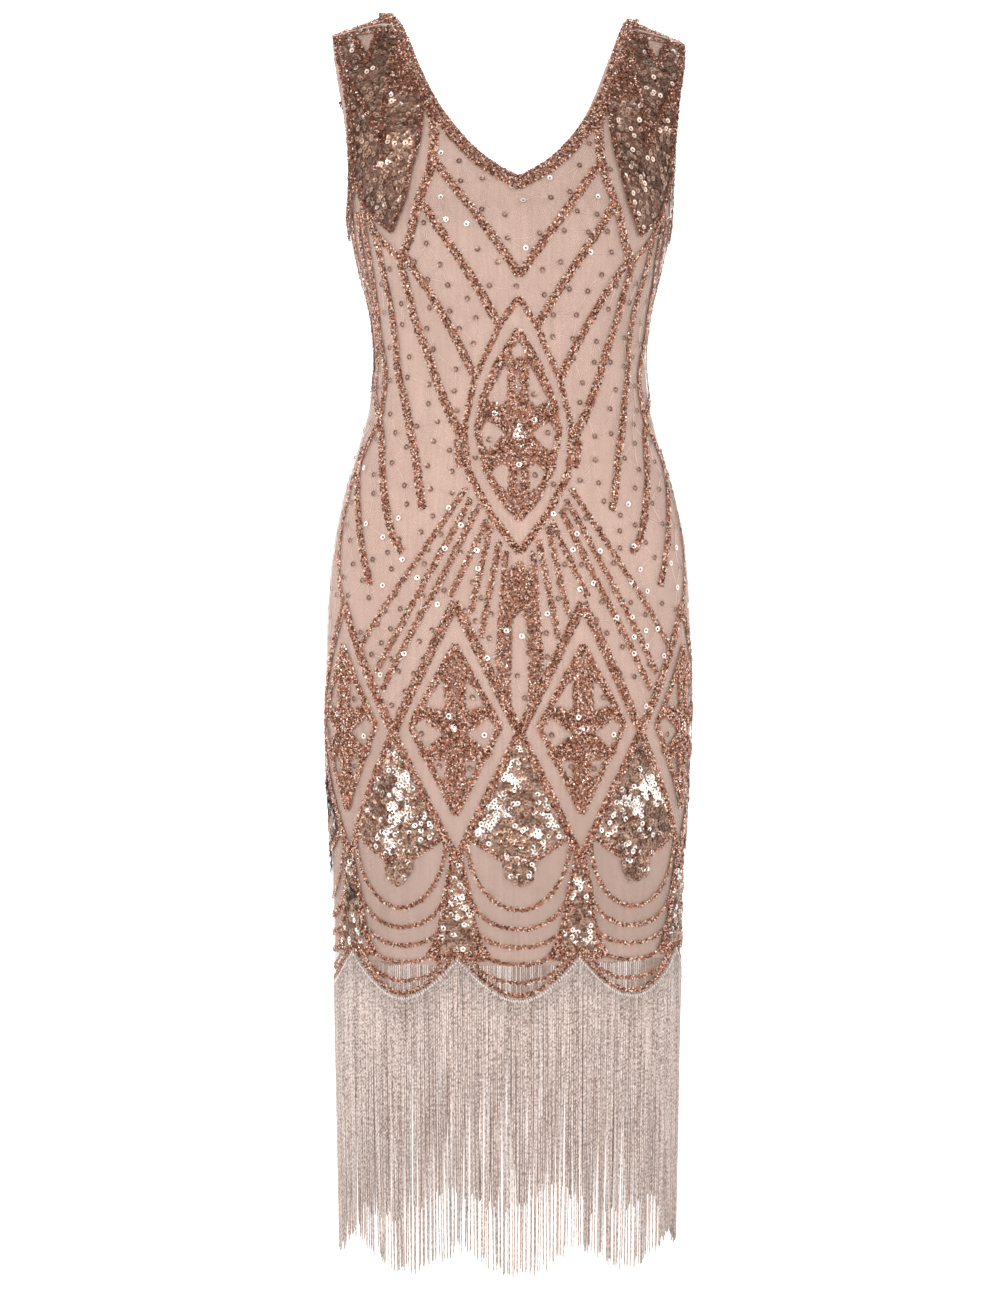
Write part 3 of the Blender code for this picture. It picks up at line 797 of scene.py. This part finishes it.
def lay_sequins(trim, points, normals, glint_share, lift, kind=TAUPE, on_top=0.0):
    """Overlapping sequins that lean together in patches; near-white ones are painted glints, in
    patches and more of them higher up.

    The first share given is the share painted near-white as glints, and `on_top` the share that
    shows as a whole paler ring.
    """
    count = len(points)
    lean = drift(points, LEAN_PATCH) * 0.6 + RNG.normal(0, 0.6, points.shape)
    facing = unit(normals + lean * TILT)
    centres = points + normals * (0.45 * MM + RNG.uniform(0, 1, count)[:, None] * lift)
    glint_score = 0.6 * drift(points + 0.3, GLINT_PATCH)[:, 0] + RNG.normal(0, 0.8, count)
    # painted glints gather higher up on each piece
    glint_score += 9 * (points[:, 2] - points[:, 2].mean())
    kinds = RNG.choice((kind, BROWN, COPPER, TAUPE), count, p=(0.42, 0.30, 0.16, 0.12))
    kinds = np.where(glint_score > np.quantile(glint_score, 1 - glint_share), PAINTED_GLINT, kinds)
    pick = np.where(kinds == PAINTED_GLINT, 1.0, RNG.uniform(0, 1, count))
    centres += normals * ((pick < on_top) * 1.1 * MM)[:, None]
    kinds = np.where(pick < on_top, np.where(pick < 0.18 * on_top, PALE_AND_GLINT, TAUPE), kinds)
    trim.sequins(centres, facing, SEQUIN_RADIUS, kinds)


def fill_sequins(trim, outline, glint_share=0.22):
    lay_sequins(trim, *spot(*fill(outline, SEQUIN_SPACING).T), glint_share, 1.2 * MM)


# ---------------------------------------------------------------- the pattern, flat
# Lines on the front's half of the wearer's left: (millimetres from the centre line, level in
# millimetres).  The back has the same lines; each is mirrored about the centre line.
def flat(points, side=1, hand=1):
    """A line given in millimetres as (column, level) spots on one half of the front or back."""
    points = np.asarray(points, float) * MM
    column = points[:, 0] / half_at(t_at(points[:, 1], 1)) * PANEL * hand
    return np.stack([column if side > 0 else BACK - column, points[:, 1]], axis=1)


# points, width, whether it bends
PANEL_LINES = [
    ([(79, -100), (74, -121), (76, -154), (88, -189), (98, -222), (109, -241)], 7.4, True),
    ([(155, -168), (146, -205), (111, -241)], 5.0, True),
    ([(75, -154), (37, -208), (0, -260)], 6.4, False),
    ([(88, -190), (18, -300)], 6.4, False),
    ([(104, -240), (38, -347)], 6.4, False),
    ([(110, -243), (96, -290), (79, -333), (64, -371), (50, -400)], 6.8, True),
    ([(54, -402), (51, -427)], 6.0, False),
    ([(50, -398), (46, -390)], 5.0, False),
    ([(150, -190), (139, -225), (128, -264), (114, -324), (102, -373), (92, -420), (85, -464)],
     6.6, True),
    ([(155, -190), (157, -234), (146, -297), (131, -345), (135, -379), (148, -397), (161, -419),
      (156, -454), (136, -530)], 6.2, True),
    ([(164, -191), (169, -228), (162, -287), (157, -340), (137, -377), (129, -398), (125, -437),
      (112, -490), (104, -501)], 6.2, True),
    ([(176, -190), (184, -228), (178, -275), (170, -330)], 4.6, True),
    ([(163, -402), (171, -430), (178, -458), (182, -488), (180, -518), (171, -544)], 4.0, True),
    ([(0, -278), (17, -302), (38, -348), (48, -390), (44, -432), (24, -470), (0, -502)],
     4.6, False),
    ([(44, -432), (24, -470), (0, -502)], 5.6, False),
    ([(46, -445), (95, -515), (148, -586)], 4.6, False),
    ([(42, -455), (76, -515), (102, -560), (130, -608)], 5.0, False),
    ([(37, -464), (68, -525), (124, -623)], 5.4, False),
    ([(28, -474), (61, -541)], 5.0, False),
    ([(25, -479), (43, -556)], 4.8, False),
    ([(17, -491), (34, -577)], 4.8, False),
    ([(12, -501), (19, -603)], 4.8, False),
]
RAYS_BELOW = -440               # lines that start under this level are rays, in paler beads
PANEL_FILLS = [
    ([(-1, -508), (10, -518), (13, -540), (14, -562), (7, -562), (-1, -553)], 0.95),
    ([(6, -560), (15, -560), (19, -585), (20, -618), (12, -644), (6, -648), (8, -618), (7, -585)],
     0.72),
]
SHOULDER_EDGES = [
    ([(83, -92), (87, -134), (95, -161), (104, -193), (116, -217)], 3.8, True),
    ([(151, -95), (153, -122), (158, -155), (146, -192), (116, -217)], 3.8, True),
    ([(157, -56), (147, -73), (139, -92), (132, -109), (122, -136)], 5.6, True),
    ([(108, -42), (110, -69), (115, -87), (118, -104), (122, -134)], 5.4, True),
    ([(149, -11), (140, -32), (133.5, -51)], 5.0, False),
    ([(121, -19), (126, -33), (133.5, -49)], 4.6, False),
]
SHOULDER_SEQUINS = [
    (113, -17), (107, -30), (106, -44), (107, -88), (92, -88), (87, -96), (88, -134), (96, -161),
    (105, -193), (116, -214), (145, -192), (157, -155), (152, -122), (148, -95), (150, -62),
    (154, -35), (157, -7),
]
SHOULDER_BEADS = [
    (106, -34), (101, -46), (94, -66), (85, -88), (92, -92), (104, -92), (112, -88), (109, -60),
    (107, -40),
]
BARE_TRIANGLE = [(147, -10), (123, -17), (133, -41)]
SEAM = [(109, -18), (120, -15), (166, -3)]


def shoulder_field(side, hand):
    trim = Trim()
    spots = fill(flat(SHOULDER_SEQUINS, side, hand), SEQUIN_SPACING)
    spots = spots[~inside(flat(BARE_TRIANGLE, side, hand), spots)]
    lay_sequins(trim, *spot(*spots.T), 0.016, 0.8 * MM, BROWN, 0.14)
    # most of the strap's beads are dark: partly the beads' deeper copper-brown, partly painted
    # shade where the straps tilt away from the light
    fill_beads(trim, flat(SHOULDER_BEADS, side, hand), 0.78, height=1.4)
    for points, width, bends in SHOULDER_EDGES:
        stroke(trim, path(flat(points, side, hand), bends), width, 0.78, height=2.3)
    seam = np.array(SEAM, float)
    for drop, width in ((0.45, 7.0), (1.28, 2.6)):
        stroke(trim, path(flat(seam * (1, drop) - (0, 1.5), side, hand)), width, height=0.5)
    name = FACE[side] + "_" + ARM_OF[hand]
    return trim.make("shoulder_sequins_" + name, "sequins", "shoulder_field_" + name)


def panel_lines(side):
    trim = Trim()
    for points, width, bends in PANEL_LINES:
        looks = (0.3, 0.82) if points[0][1] < RAYS_BELOW else (0.38, 1.0)
        for hand in (1, -1):
            stroke(trim, path(flat(points, side, hand), bends), width, *looks)
    for outline, density in PANEL_FILLS:
        for hand in (1, -1):
            fill_beads(trim, flat(outline, side, hand), density=density)
    return trim.make("bead_lines_" + FACE[side], "beads")


def nearly(normals):
    """Directions that lean a little and at random from the normals."""
    return unit(normals + RNG.normal(0, 0.06, normals.shape))


def few_sequins(trim, spots, kind):
    """Single ring sequins at (column, level)."""
    points, normals = spot(*spots.T, 1.5 * MM)
    trim.sequins(points, nearly(normals), 2.6 * MM, [kind] * len(spots), 9, 0.45)


# The lozenges' outlines, the lines over them with their widths, the clear places among their
# beads and the darker petals; one half.  The waist's are in millimetres, the hips' in columns
# from the middle and millimetres.
WAIST_OUTLINE = [(0, -308), (18, -338), (30, -367), (34, -393), (27, -430), (15, -454), (0, -471)]
WAIST_OUTLINE += [(-across, level) for across, level in WAIST_OUTLINE[-2:0:-1]]
WAIST_LINES = [
    ([(0, -305), (19, -336), (31.5, -367), (36.5, -394), (28.5, -430), (15, -456), (0, -473)], 4.9),
    ([(5.6, -332), (6, -378)], 3.4),
    ([(5.0, -412), (5.0, -452)], 3.2),
]
WAIST_GAPS = [
    [(0, -315), (6, -323), (5, -330), (-5, -330), (-6, -323)],
    [(9.5, -334), (18, -348), (27, -366), (25, -371), (16, -373), (9.5, -368), (9, -350)],
    [(35, -397), (28, -386), (20, -388), (13, -397), (20, -407), (28, -412), (33, -405)],
    [(9, -427), (18, -423), (24, -430), (18, -443), (10, -449)],
    [(-0.2, -341), (1.2, -344), (1.2, -362), (-0.2, -364)],
    [(-0.2, -430), (1.1, -432), (1.1, -446), (-0.2, -448)],
]
WAIST_PETALS = [
    [(0, -391), (7, -384), (20, -372), (33, -368), (35, -375), (24, -386), (8, -396), (0, -400)],
    [(0, -398), (10, -402), (26, -416), (32, -427), (26, -432), (14, -419), (5, -410), (0, -408)],
]
# near-white sequins on the waist lozenge: painted glints
WAIST_GLINT_SPOTS = [(1, -391), (-2.5, -399), (2, -401), (-1, -395), (0, -425), (-21, -380), (14, -385)]
WAIST_BROWN = [(-26, -403), (26, -396), (14, -362), (14, -434), (3, -404), (-4, -392)]
HIP_OUTLINE = [(0, -588), (2.0, -655), (0, -726), (-2.0, -655)]
HIP_LINES = [
    ([(0, -583), (2.1, -654), (0, -731)], 4.6),
    ([(0.30, -610), (0.32, -644)], 3.4),
    ([(0.22, -680), (0.22, -706)], 3.2),
]
HIP_GAPS = [
    [(0.50, -614), (0.85, -619), (1.45, -637), (0.95, -641), (0.5, -639)],
    [(0.55, -661), (1.0, -651), (1.46, -646), (1.92, -655), (1.78, -667), (1.35, -673),
     (0.80, -670)],
    [(0.42, -685), (1.05, -683), (0.85, -699), (0.5, -700)],
]
HIP_PETALS = [
    [(0, -648), (0.5, -643), (1.2, -638), (1.7, -641), (1.3, -649), (0.6, -658), (0, -662)],
    [(0, -652), (0.6, -663), (1.2, -673), (1.7, -678), (1.1, -684), (0.5, -678), (0, -668)],
]


def lozenge(place, outline, density, lines, gaps, petals):
    """A lozenge of beads; place(points, hand) turns its tables into spots."""
    trim = Trim()
    gaps = [place(gap, hand) for gap in gaps for hand in (1, -1)]
    fill_beads(trim, place(outline), 0.32, density, gaps)
    for hand in (1, -1):
        for points, width in lines:
            stroke(trim, path(place(points, hand)), width, 0.32, height=0.5)
        for petal in petals:
            fill_beads(trim, place(petal, hand), 0.50, 0.9, height=0.7)
            stroke(trim, path(place(petal[1:-1], hand)), 2.0, 0.25, height=1.1)
    return trim


def waist_lozenge(side):
    def there(points, hand=1):
        return flat(points, side, hand)

    trim = lozenge(there, WAIST_OUTLINE, 0.72, WAIST_LINES, WAIST_GAPS, WAIST_PETALS)
    few_sequins(trim, there(WAIST_GLINT_SPOTS), PAINTED_GLINT)
    few_sequins(trim, there(WAIST_BROWN), BROWN)
    return trim.make("waist_beading_" + FACE[side], "beads", "waist_lozenge_" + FACE[side])


def about(centre):
    """Places points given in columns from the column `centre` and in millimetres."""
    return lambda points, hand=1: np.asarray(points, float) * (hand, MM) + (centre, 0)


def hip_lozenge(number, centre):
    """One repeat of the ring round the hips."""
    here = about(centre)
    trim = lozenge(here, HIP_OUTLINE, 0.78, HIP_LINES, HIP_GAPS, HIP_PETALS)
    pick = RNG.uniform(-0.15, 0.15, (7, 2)) * (1, 12)
    # near-white sequins: painted glints
    few_sequins(trim, here(pick[:3] + (0, -656)), PAINTED_GLINT)
    few_sequins(trim, here(pick[3:5] + ((1.45, -662), (-0.35, -646))), PAINTED_GLINT)
    browns = ((-1.5, -662), (0.7, -690), (-0.7, -689), (0.9, -629))
    few_sequins(trim, here(pick[:4] + browns), BROWN)
    return trim.make("hip_beading_%d" % number, "beads", "hip_lozenge_%d" % number)


# Outlines of the sequins and the lines and the foot of beads over them; one half.
FAN = [
    (0, -670), (0.36, -684), (2.02, -747), (1.86, -752), (0.86, -766), (0.74, -778), (0.58, -788),
    (0.26, -793), (0, -794),
]
FAN_LINE = [(2.45, -749), (1.9, -757), (0.9, -769), (0, -771)]
WEDGE = [(0, -768), (0.3, -785), (0.52, -812), (0.85, -838), (1.0, -851), (0.5, -852), (0, -850)]
WEDGE_LINE = [(0.10, -765), (0.46, -796), (0.68, -820), (0.95, -840), (1.45, -856)]
WEDGE_FOOT = [(0, -849), (0.6, -849), (1.0, -845), (1.6, -858), (0.9, -861), (0, -856)]


def whole(half):
    """An outline from its one half."""
    half = np.array(half)
    return np.concatenate([half, half[::-1] * (-1, 1)])


def hip_fan(number, centre):
    trim, here = Trim(), about(centre)
    fill_sequins(trim, here(whole(FAN)))
    for hand in (1, -1):
        stroke(trim, path(here(FAN_LINE, hand)), 4.2, 0.36, height=0.6)
    return trim.make("hip_sequins_%d" % number, "sequins", "hip_fan_%d" % number)


def hem_wedge(number, centre):
    trim, here = Trim(), about(centre)
    fill_sequins(trim, here(whole(WEDGE)), glint_share=0.16)
    for hand in (1, -1):
        stroke(trim, path(here(WEDGE_LINE, hand), True), 5.2, 0.42, height=0.5)
        fill_beads(trim, here(WEDGE_FOOT, hand), 0.42, 0.9, height=0.4)
    return trim.make("hem_sequins_%d" % number, "sequins", "hem_wedge_%d" % number)


# bottom level of each swag, level of its ends, and its half width in columns
SWAGS = [
    (-815, -752, 2.50), (-832, -796, 2.44), (-848, -822, 2.36), (-863, -840, 2.26),
    (-879, -852, 2.35),
]


def hip_ring(side):
    """The outer frames of the lozenges and the swags under them, on one panel."""
    trim = Trim()
    first = -PANEL if side > 0 else PANEL
    for centre in np.arange(first + 3, first + BACK, SCALLOP):
        for hand in (1, -1):
            corner = (centre + 3 * hand, -660 * MM)
            stroke(trim, path([corner, (centre, -546 * MM)]), 7.4)
            stroke(trim, path([corner, (centre, -771 * MM)]), 6.6, 0.34)
    for middle in np.arange(first, first + BACK, SCALLOP):
        for bottom, ends, half in SWAGS:
            turn = np.linspace(-math.pi / 2, math.pi / 2, 33)
            levels = (ends + (bottom - ends) * np.cos(turn)) * MM
            stroke(trim, spot(middle + half * np.sin(turn), levels), 3.5, 0.30, 0.72)
    columns = np.linspace(first, first + BACK, 16 * BACK + 1)
    stroke(trim, spot(columns, hem_level(columns) + 2.2 * MM), 4.4)
    return trim.make("bead_ring_" + FACE[side], "beads")


# ---------------------------------------------------------------- borders
# The V carried on past the centre line, so that its border meets in a point.
V_FOOT = {1: [(-3, -172), (-8, -175), (-14, -178.6)], -1: [(-3, -154), (-8, -157.2), (-14, -161)]}


def on_edge(t, edge, hand):
    """Points and normals along an edge of the cloth, given by its length from the centre line."""
    return on_cloth(t, np.interp(t, T, edge) / half_at(t), hand)


def neck_beading(side):
    """Two double rows along the V, from shoulder seam to shoulder seam."""
    trim = Trim()
    bottom, top = (8.0, 1.0) if side > 0 else (-7.0, 0.94)
    t = np.linspace(top, bottom, 240)
    for hand in (1, -1):
        edge = on_edge(t, NECK_AT, hand)
        past = spot(*flat(V_FOOT[side], side, hand).T)
        edge = [np.concatenate(both) for both in zip(edge, past)]
        for inset, width in ((0.3, 5.2), (6.2, 6.6)):
            first = inset if side * hand > 0 else -inset - width
            stroke(trim, edge, width, 0.52, 1.12, first, 0.5, hand)
    return trim.make("neck_beading_" + FACE[side], "beads", "neck_band_" + FACE[side])


# Rows of the armhole's border: how far in, and width, in millimetres; then the short rows of
# the underarm, with the level where each ends.
ARM_ROWS = [(0.3, 4.2), (5.2, 3.8)]
UNDERARM_ROWS = [(-0.128, 9.8, 3.6), (-0.158, 14.2, 3.4), (-0.174, 18.4, 3.2)]


def armhole_beading(hand):
    trim = Trim()

    def row(t, inset, width, share_dark, density, height):
        inset = inset if hand > 0 else -inset - width
        line = on_edge(t, ARM_AT, hand)
        stroke(trim, line, width, share_dark, density, inset, height)

    for inset, width in ARM_ROWS:
        row(np.linspace(UNDERARM, -UNDERARM, 480), inset, width, 0.78, 1.08, 0.4)
    for side in (1, -1):
        for top, inset, width in UNDERARM_ROWS:
            ends = (UNDERARM, float(t_at(top, 1)))[::side]
            row(np.linspace(*ends, 120) * side, inset, width, 0.55, 1.0, 0.3)
    # the rows of front and back are joined by beads down the seam
    stroke(trim, spot(PANEL * hand, np.linspace(-0.1885, -0.209, 22)), 5.0, 0.55, height=0.4)
    return trim.make("armhole_beading_" + ARM_OF[hand], "beads", "armhole_band_" + ARM_OF[hand])


def shoulder_seam(hand):
    """The pale line of the seam, just forward of the shoulder's ridge."""
    points = along(np.linspace(0, 2, 29), (0, 1, 2), flat(SEAM, 1, hand))
    middle, up = spot(*points.T, 1.9 * MM)
    aside = np.cross(up, unit(np.gradient(middle, axis=0)))
    ring = turned(aside[:, None], up[:, None], round_turn(5)[None, :, None])
    rings = middle[:, None] + ring * 0.5 * MM
    return wear(tubes("shoulder_seam_" + ARM_OF[hand], [rings], LINING), "net")


# ---------------------------------------------------------------- loose sequins and their thread
LOOSE_TRIES = 16000
LOOSE_LEVELS = (-0.655, -0.135)
APART = 0.0172                  # between loose sequins, and from a line of beads
OFF_LINES = 0.0065
RAYS = (-0.61, -0.455)          # levels of the rays, where sequins lie closer
APART_IN_RAYS = 0.0130
OFF_RAYS = 0.0012
NECK_ENDS = 8.5                 # row under the point of the V
NECK_CLEAR = 0.020
ARM_CLEAR = 0.014
RING_MIDDLE = -0.656            # of the ring of lozenges round the hips
RING_HALF = 0.110
THREAD_POINTS = 6
THREAD_REACH = 0.034            # of the longest thread from sequin to sequin


def loose_spot(column, level):
    """How far off a line and off its neighbours a sequin lies here, or None where none lies."""
    turn = abs((column + PANEL) % BACK - PANEL)
    t = float(t_at(level, side_of(column)))
    place = turn / PANEL * float(half_at(t))
    clear = NECK_CLEAR if abs(t) > NECK_ENDS else 0
    if not np.interp(t, T, NECK_AT) + NECK_CLEAR < place + clear:
        return None
    if abs(t) < UNDERARM + 1 and place > np.interp(t, T, ARM_AT) - ARM_CLEAR:
        return None
    on_shoulder = level > -0.245 and place > 0.086
    in_lozenge = -0.55 < level < -0.28 and place < 0.030
    if on_shoulder or in_lozenge or ring_share(column, level) < 1.0:
        return None
    if RAYS[0] < level < RAYS[1] and turn < 7:
        return OFF_RAYS, APART_IN_RAYS
    return OFF_LINES, APART


def loose_sequins():
    """Ring sequins scattered between the lines, joined by the thread that sews them on."""
    lines = np.concatenate(LINE_POINTS)
    tree = KDTree(len(lines))
    for number, point in enumerate(lines):
        tree.insert(point, number)
    tree.balance()
    kept = []
    tries = [RNG.uniform(*ends, LOOSE_TRIES) for ends in ((0, COLUMNS), LOOSE_LEVELS)]
    points, normals = spot(*tries)
    for number, (column, level) in enumerate(zip(*tries)):
        room = loose_spot(column, level)
        if room is None or tree.find(points[number])[2] < room[0]:
            continue
        if kept and np.min(np.linalg.norm(points[kept] - points[number], axis=1)) < room[1]:
            continue
        kept.append(number)
    points, outward = points[kept], normals[kept]
    # the share of near-white sequins, painted glints, by height: most low in the rays and high on
    # the chest
    glints = np.interp(points[:, 2], (-0.47, -0.44, -0.28, -0.24), (0.32, 0.04, 0.04, 0.22))
    trim = Trim()
    facing = nearly(outward)
    kinds = np.where(RNG.uniform(0, 1, len(points)) < glints, PAINTED_GLINT, BROWN)
    trim.sequins(points + outward * 0.9 * MM, facing, 2.5 * MM, kinds, 9, 0.42)
    return trim.make("loose_sequins", "sequins"), sew(points, outward)


def ring_share(column, level):
    """Below 1 inside the zone of the hip lozenges, where no sequin lies loose."""
    return abs(level - RING_MIDDLE) / RING_HALF + abs(column % SCALLOP - 3) / 3


def sew(points, normals):
    """A fine thread from each loose sequin to a near one, in a slack bow on the net."""
    rings = []
    for number, start in enumerate(points):
        away = np.linalg.norm(points - start, axis=1)
        for other in np.argsort(away)[1:4]:
            if other < number and RNG.uniform() < 0.75 or away[other] > THREAD_REACH:
                continue
            f = np.linspace(0, 1, THREAD_POINTS)[:, None]
            bow = RNG.uniform(-0.12, 0.12) * away[other]
            out = unit(normals[number] * (1 - f) + normals[other] * f)
            gap = points[other] - start
            aside = np.cross(out, unit(gap[None]))
            line = start + gap * f + aside * bow * np.sin(math.pi * f) + out * 0.25 * MM
            beside = np.cross(out, unit(np.gradient(line, axis=0))) * 0.10 * MM
            rings.append(np.stack([line + beside, line + out * 0.2 * MM, line - beside], 1))
    return wear(tubes("sewing_thread", rings, THREAD), "net")


# ---------------------------------------------------------------- fringe
STRANDS = 424
STRAND_SIDES = 4
STRAND_ROWS = 9
STRAND_RADIUS = 1.08 * MM
STRAND_ENDS = np.array([(35, 34, 33, 32), (0, 1, 2, 3)])      # faces that close a strand


def fringe():
    """Twisted yarn sewn on along the scalloped edge; strands draw together in pairs lower down."""
    rings, maps = [], []
    rng = np.random.default_rng(21)
    clump = rng.uniform(-1, 1, STRANDS // 4 + 2)
    for strand in range(STRANDS):
        column = (strand + rng.uniform(-0.06, 0.06)) / STRANDS * COLUMNS
        top = float(hem_level(column)) + 0.8 * MM
        swing = (CUSP_LEVEL - float(hem_level(column))) / SCALLOP_DEPTH
        end = FRINGE_END - FRINGE_SWING * swing - rng.uniform(-6, 5) * MM
        foot, normal = spot(column, top, 0.5 * MM)
        f = np.append(np.linspace(0, 0.985, STRAND_ROWS - 1), 1.0)
        sway = clump[strand // 4] * 1.7 * MM * f ** 2.2
        sway = sway + (-0.35 if strand % 2 else 0.35) * MM * f ** 1.5
        sway = sway + rng.normal(0, 0.45) * MM * f ** 2
        sway = sway + rng.normal(0, 0.2) * MM * np.sin(f * rng.uniform(3, 7))
        aside = np.cross(normal, (0, 0, 1.0))
        level = top + (end - top) * f
        line = np.stack([foot[0] * (1 - 0.03 * f), foot[1] * (1 - 0.03 * f), level], axis=1)
        line += aside * sway[:, None] + normal * (rng.normal(0, 0.5) * MM * f)[:, None]
        # the back's strands stand apart at the top, so that light shows through the clear hem net
        top_width = 0.76 if PANEL + 0.5 < column < COLUMNS - PANEL - 0.5 else 1.22
        radius = np.interp(f, (0, 0.25, 0.6, 0.985, 1), (top_width, 1.10, 0.90, 0.66, 0.45))
        radius = STRAND_RADIUS * radius * rng.uniform(0.94, 1.08)
        angle = round_turn(STRAND_SIDES) + rng.uniform(0, 1.5)
        ring = turned(aside, normal, angle[:, None])
        rings.append(line[:, None] + ring * radius[:, None, None])
        around = np.arange(STRAND_SIDES) * 0.0009 + rng.uniform(0, 2)
        places = np.broadcast_arrays(around[None], level[:, None])
        maps.append(np.stack(places, axis=-1).reshape(-1, 2))
    obj = tubes("fringe_yarn", rings, YARN, STRAND_ENDS)
    give_uv(obj, np.concatenate(maps))
    return wear(obj, "fringe", "fringe")


def fringe_heading():
    """The pale stitches that hold the strands, one to a strand, just under the hem's beads."""
    rng = np.random.default_rng(5)
    columns = (np.arange(STRANDS) + 0.5) / STRANDS * COLUMNS
    middle, out = spot(columns, hem_level(columns) - 1.9 * MM, 2.4 * MM)
    aside = unit(np.cross(out, (0, 0, 1.0)))
    lean = rng.normal(0.35, 0.12, STRANDS)[:, None]
    ahead = turned(np.cross(aside, out), aside, lean)
    beside = np.cross(out, ahead) * 0.50 * MM
    ahead = ahead * (rng.uniform(1.3, 1.9, STRANDS)[:, None] * MM)
    corners = (-ahead, beside, ahead, -beside, out * 0.5 * MM)
    points = np.stack([middle + corner for corner in corners], axis=1)
    faces = repeated(BEAD_FACES, STRANDS, 5)
    return wear(add_mesh("fringe_heading", points.reshape(-1, 3), faces, [HEADING]), "fringe")


# ---------------------------------------------------------------- the dress
def lining_hem(column):
    return np.full(len(column), LINING_HEM)


def dress():
    """Every piece of the dress."""
    sheets, on_net = {}, {1: [], -1: []}
    for side, word in FACE.items():
        net = cloth(word + "_net_cloth", side, hem_level, 0.0, 0.5 * MM, NET)
        lining = cloth(word + "_lining_cloth", side, lining_hem, -1.3 * MM, 0.7 * MM, LINING)
        for piece, slot in ((net, "net"), (lining, "lining")):
            wear(piece, slot, word + "_" + slot)
        sheets[side] = (net, lining)
        for beading in (neck_beading, panel_lines, waist_lozenge, hip_ring):
            on_net[side].append(beading(side))
        on_net[side] += [shoulder_field(side, hand) for hand in ARM_OF]
    on_net[1] += [armhole_beading(hand) for hand in ARM_OF]
    on_net[1] += [shoulder_seam(hand) for hand in ARM_OF]
    for step in range(COLUMNS // SCALLOP):
        side = -1 if 2 <= step < 6 else 1
        for piece in (hip_lozenge, hem_wedge):
            on_net[side].append(piece(step + 1, SCALLOP * step + 3.0))
        on_net[-1 if 2 < step < 6 else 1].append(hip_fan(step + 1, float(SCALLOP * step)))
    on_net[1] += loose_sequins()
    on_net[1] += [fringe(), fringe_heading()]


# ---------------------------------------------------------------- camera, floor and light
CAMERA_TURN = math.radians(-4.3)
CAMERA_FAR = 1.8
CAMERA_LEVEL = -0.587
CAMERA_ASIDE = -0.0088
SENSOR = 36.0
LENS = 53.64
LIT = Vector((0, 0, -0.55))     # where the lamps point


def camera():
    data = bpy.data.cameras.new("photo_camera")
    data.sensor_fit = "VERTICAL"
    data.sensor_height = SENSOR
    data.lens = LENS
    obj = bpy.data.objects.new("photo_camera", data)
    right = Vector((math.cos(CAMERA_TURN), math.sin(CAMERA_TURN), 0))
    obj.location = Vector((math.sin(CAMERA_TURN), -math.cos(CAMERA_TURN), 0)) * CAMERA_FAR
    obj.location += right * CAMERA_ASIDE + Vector((0, 0, CAMERA_LEVEL))
    obj.rotation_euler = (math.pi / 2, 0, CAMERA_TURN)
    bpy.context.collection.objects.link(obj)
    bpy.context.scene.camera = obj


FLOOR = -1.45
BEND = 1.6                      # radius of the rise from the floor to the wall


def studio():
    """A pale floor that rises into a pale wall all round, glowing brighter behind the dress; soft
    lamps.
    """
    sides = 96
    profile = [(far, FLOOR) for far in (0.0, 0.8, 1.6, 2.4)]
    for turn in np.linspace(0.1, math.pi / 2, 12):
        profile.append((2.4 + BEND * math.sin(turn), 0.15 - BEND * math.cos(turn)))
    profile.append((4.0, 3.5))
    white = (1, 1, 1, 1)
    finish = Finish("pale_backdrop", Roughness=0.9, Base_Color=(0.85, 0.85, 0.85, 1),
                    Emission_Color=white)
    # the floor and wall glow: emitted light, from 0.12 in front to 0.72 behind
    ahead = finish.add("SeparateXYZ", finish.place(), out="Y")
    glow = finish.add("MapRange", ahead, From_Min=0.0, From_Max=1.0, To_Min=0.12, To_Max=0.72)
    finish.join(glow, "Emission Strength")
    finish.material.cycles.emission_sampling = "NONE"
    turns = round_turn(sides)
    points = np.array([[(r * math.cos(a), r * math.sin(a), z) for a in turns] for r, z in profile])
    faces = sheet_faces(len(profile), sides, True)
    add_mesh("pale_floor", points.reshape(-1, 3), faces, [finish.material], True)
    world = bpy.data.worlds.new("soft_light")
    bpy.context.scene.world = world
    world.use_nodes = True
    background = world.node_tree.nodes["Background"]
    background.inputs["Color"].default_value = white
    background.inputs["Strength"].default_value = 0.4
    for name, place, size, power in (
        ("key_light", (-0.9, -2.3, 0.05), 0.8, 26),
        ("fill_light", (1.6, -2.0, 0.0), 1.2, 8),
        ("spark_light", (0.3, -2.2, -0.1), 0.12, 5),
    ):
        data = bpy.data.lights.new(name, "AREA")
        data.size = size
        data.energy = power
        lamp = bpy.data.objects.new(name, data)
        lamp.location = place
        lamp.rotation_euler = (LIT - Vector(place)).to_track_quat("-Z", "Y").to_euler()
        bpy.context.collection.objects.link(lamp)


camera()
dress()
studio()
bpy.context.scene.view_settings.view_transform = "Standard"
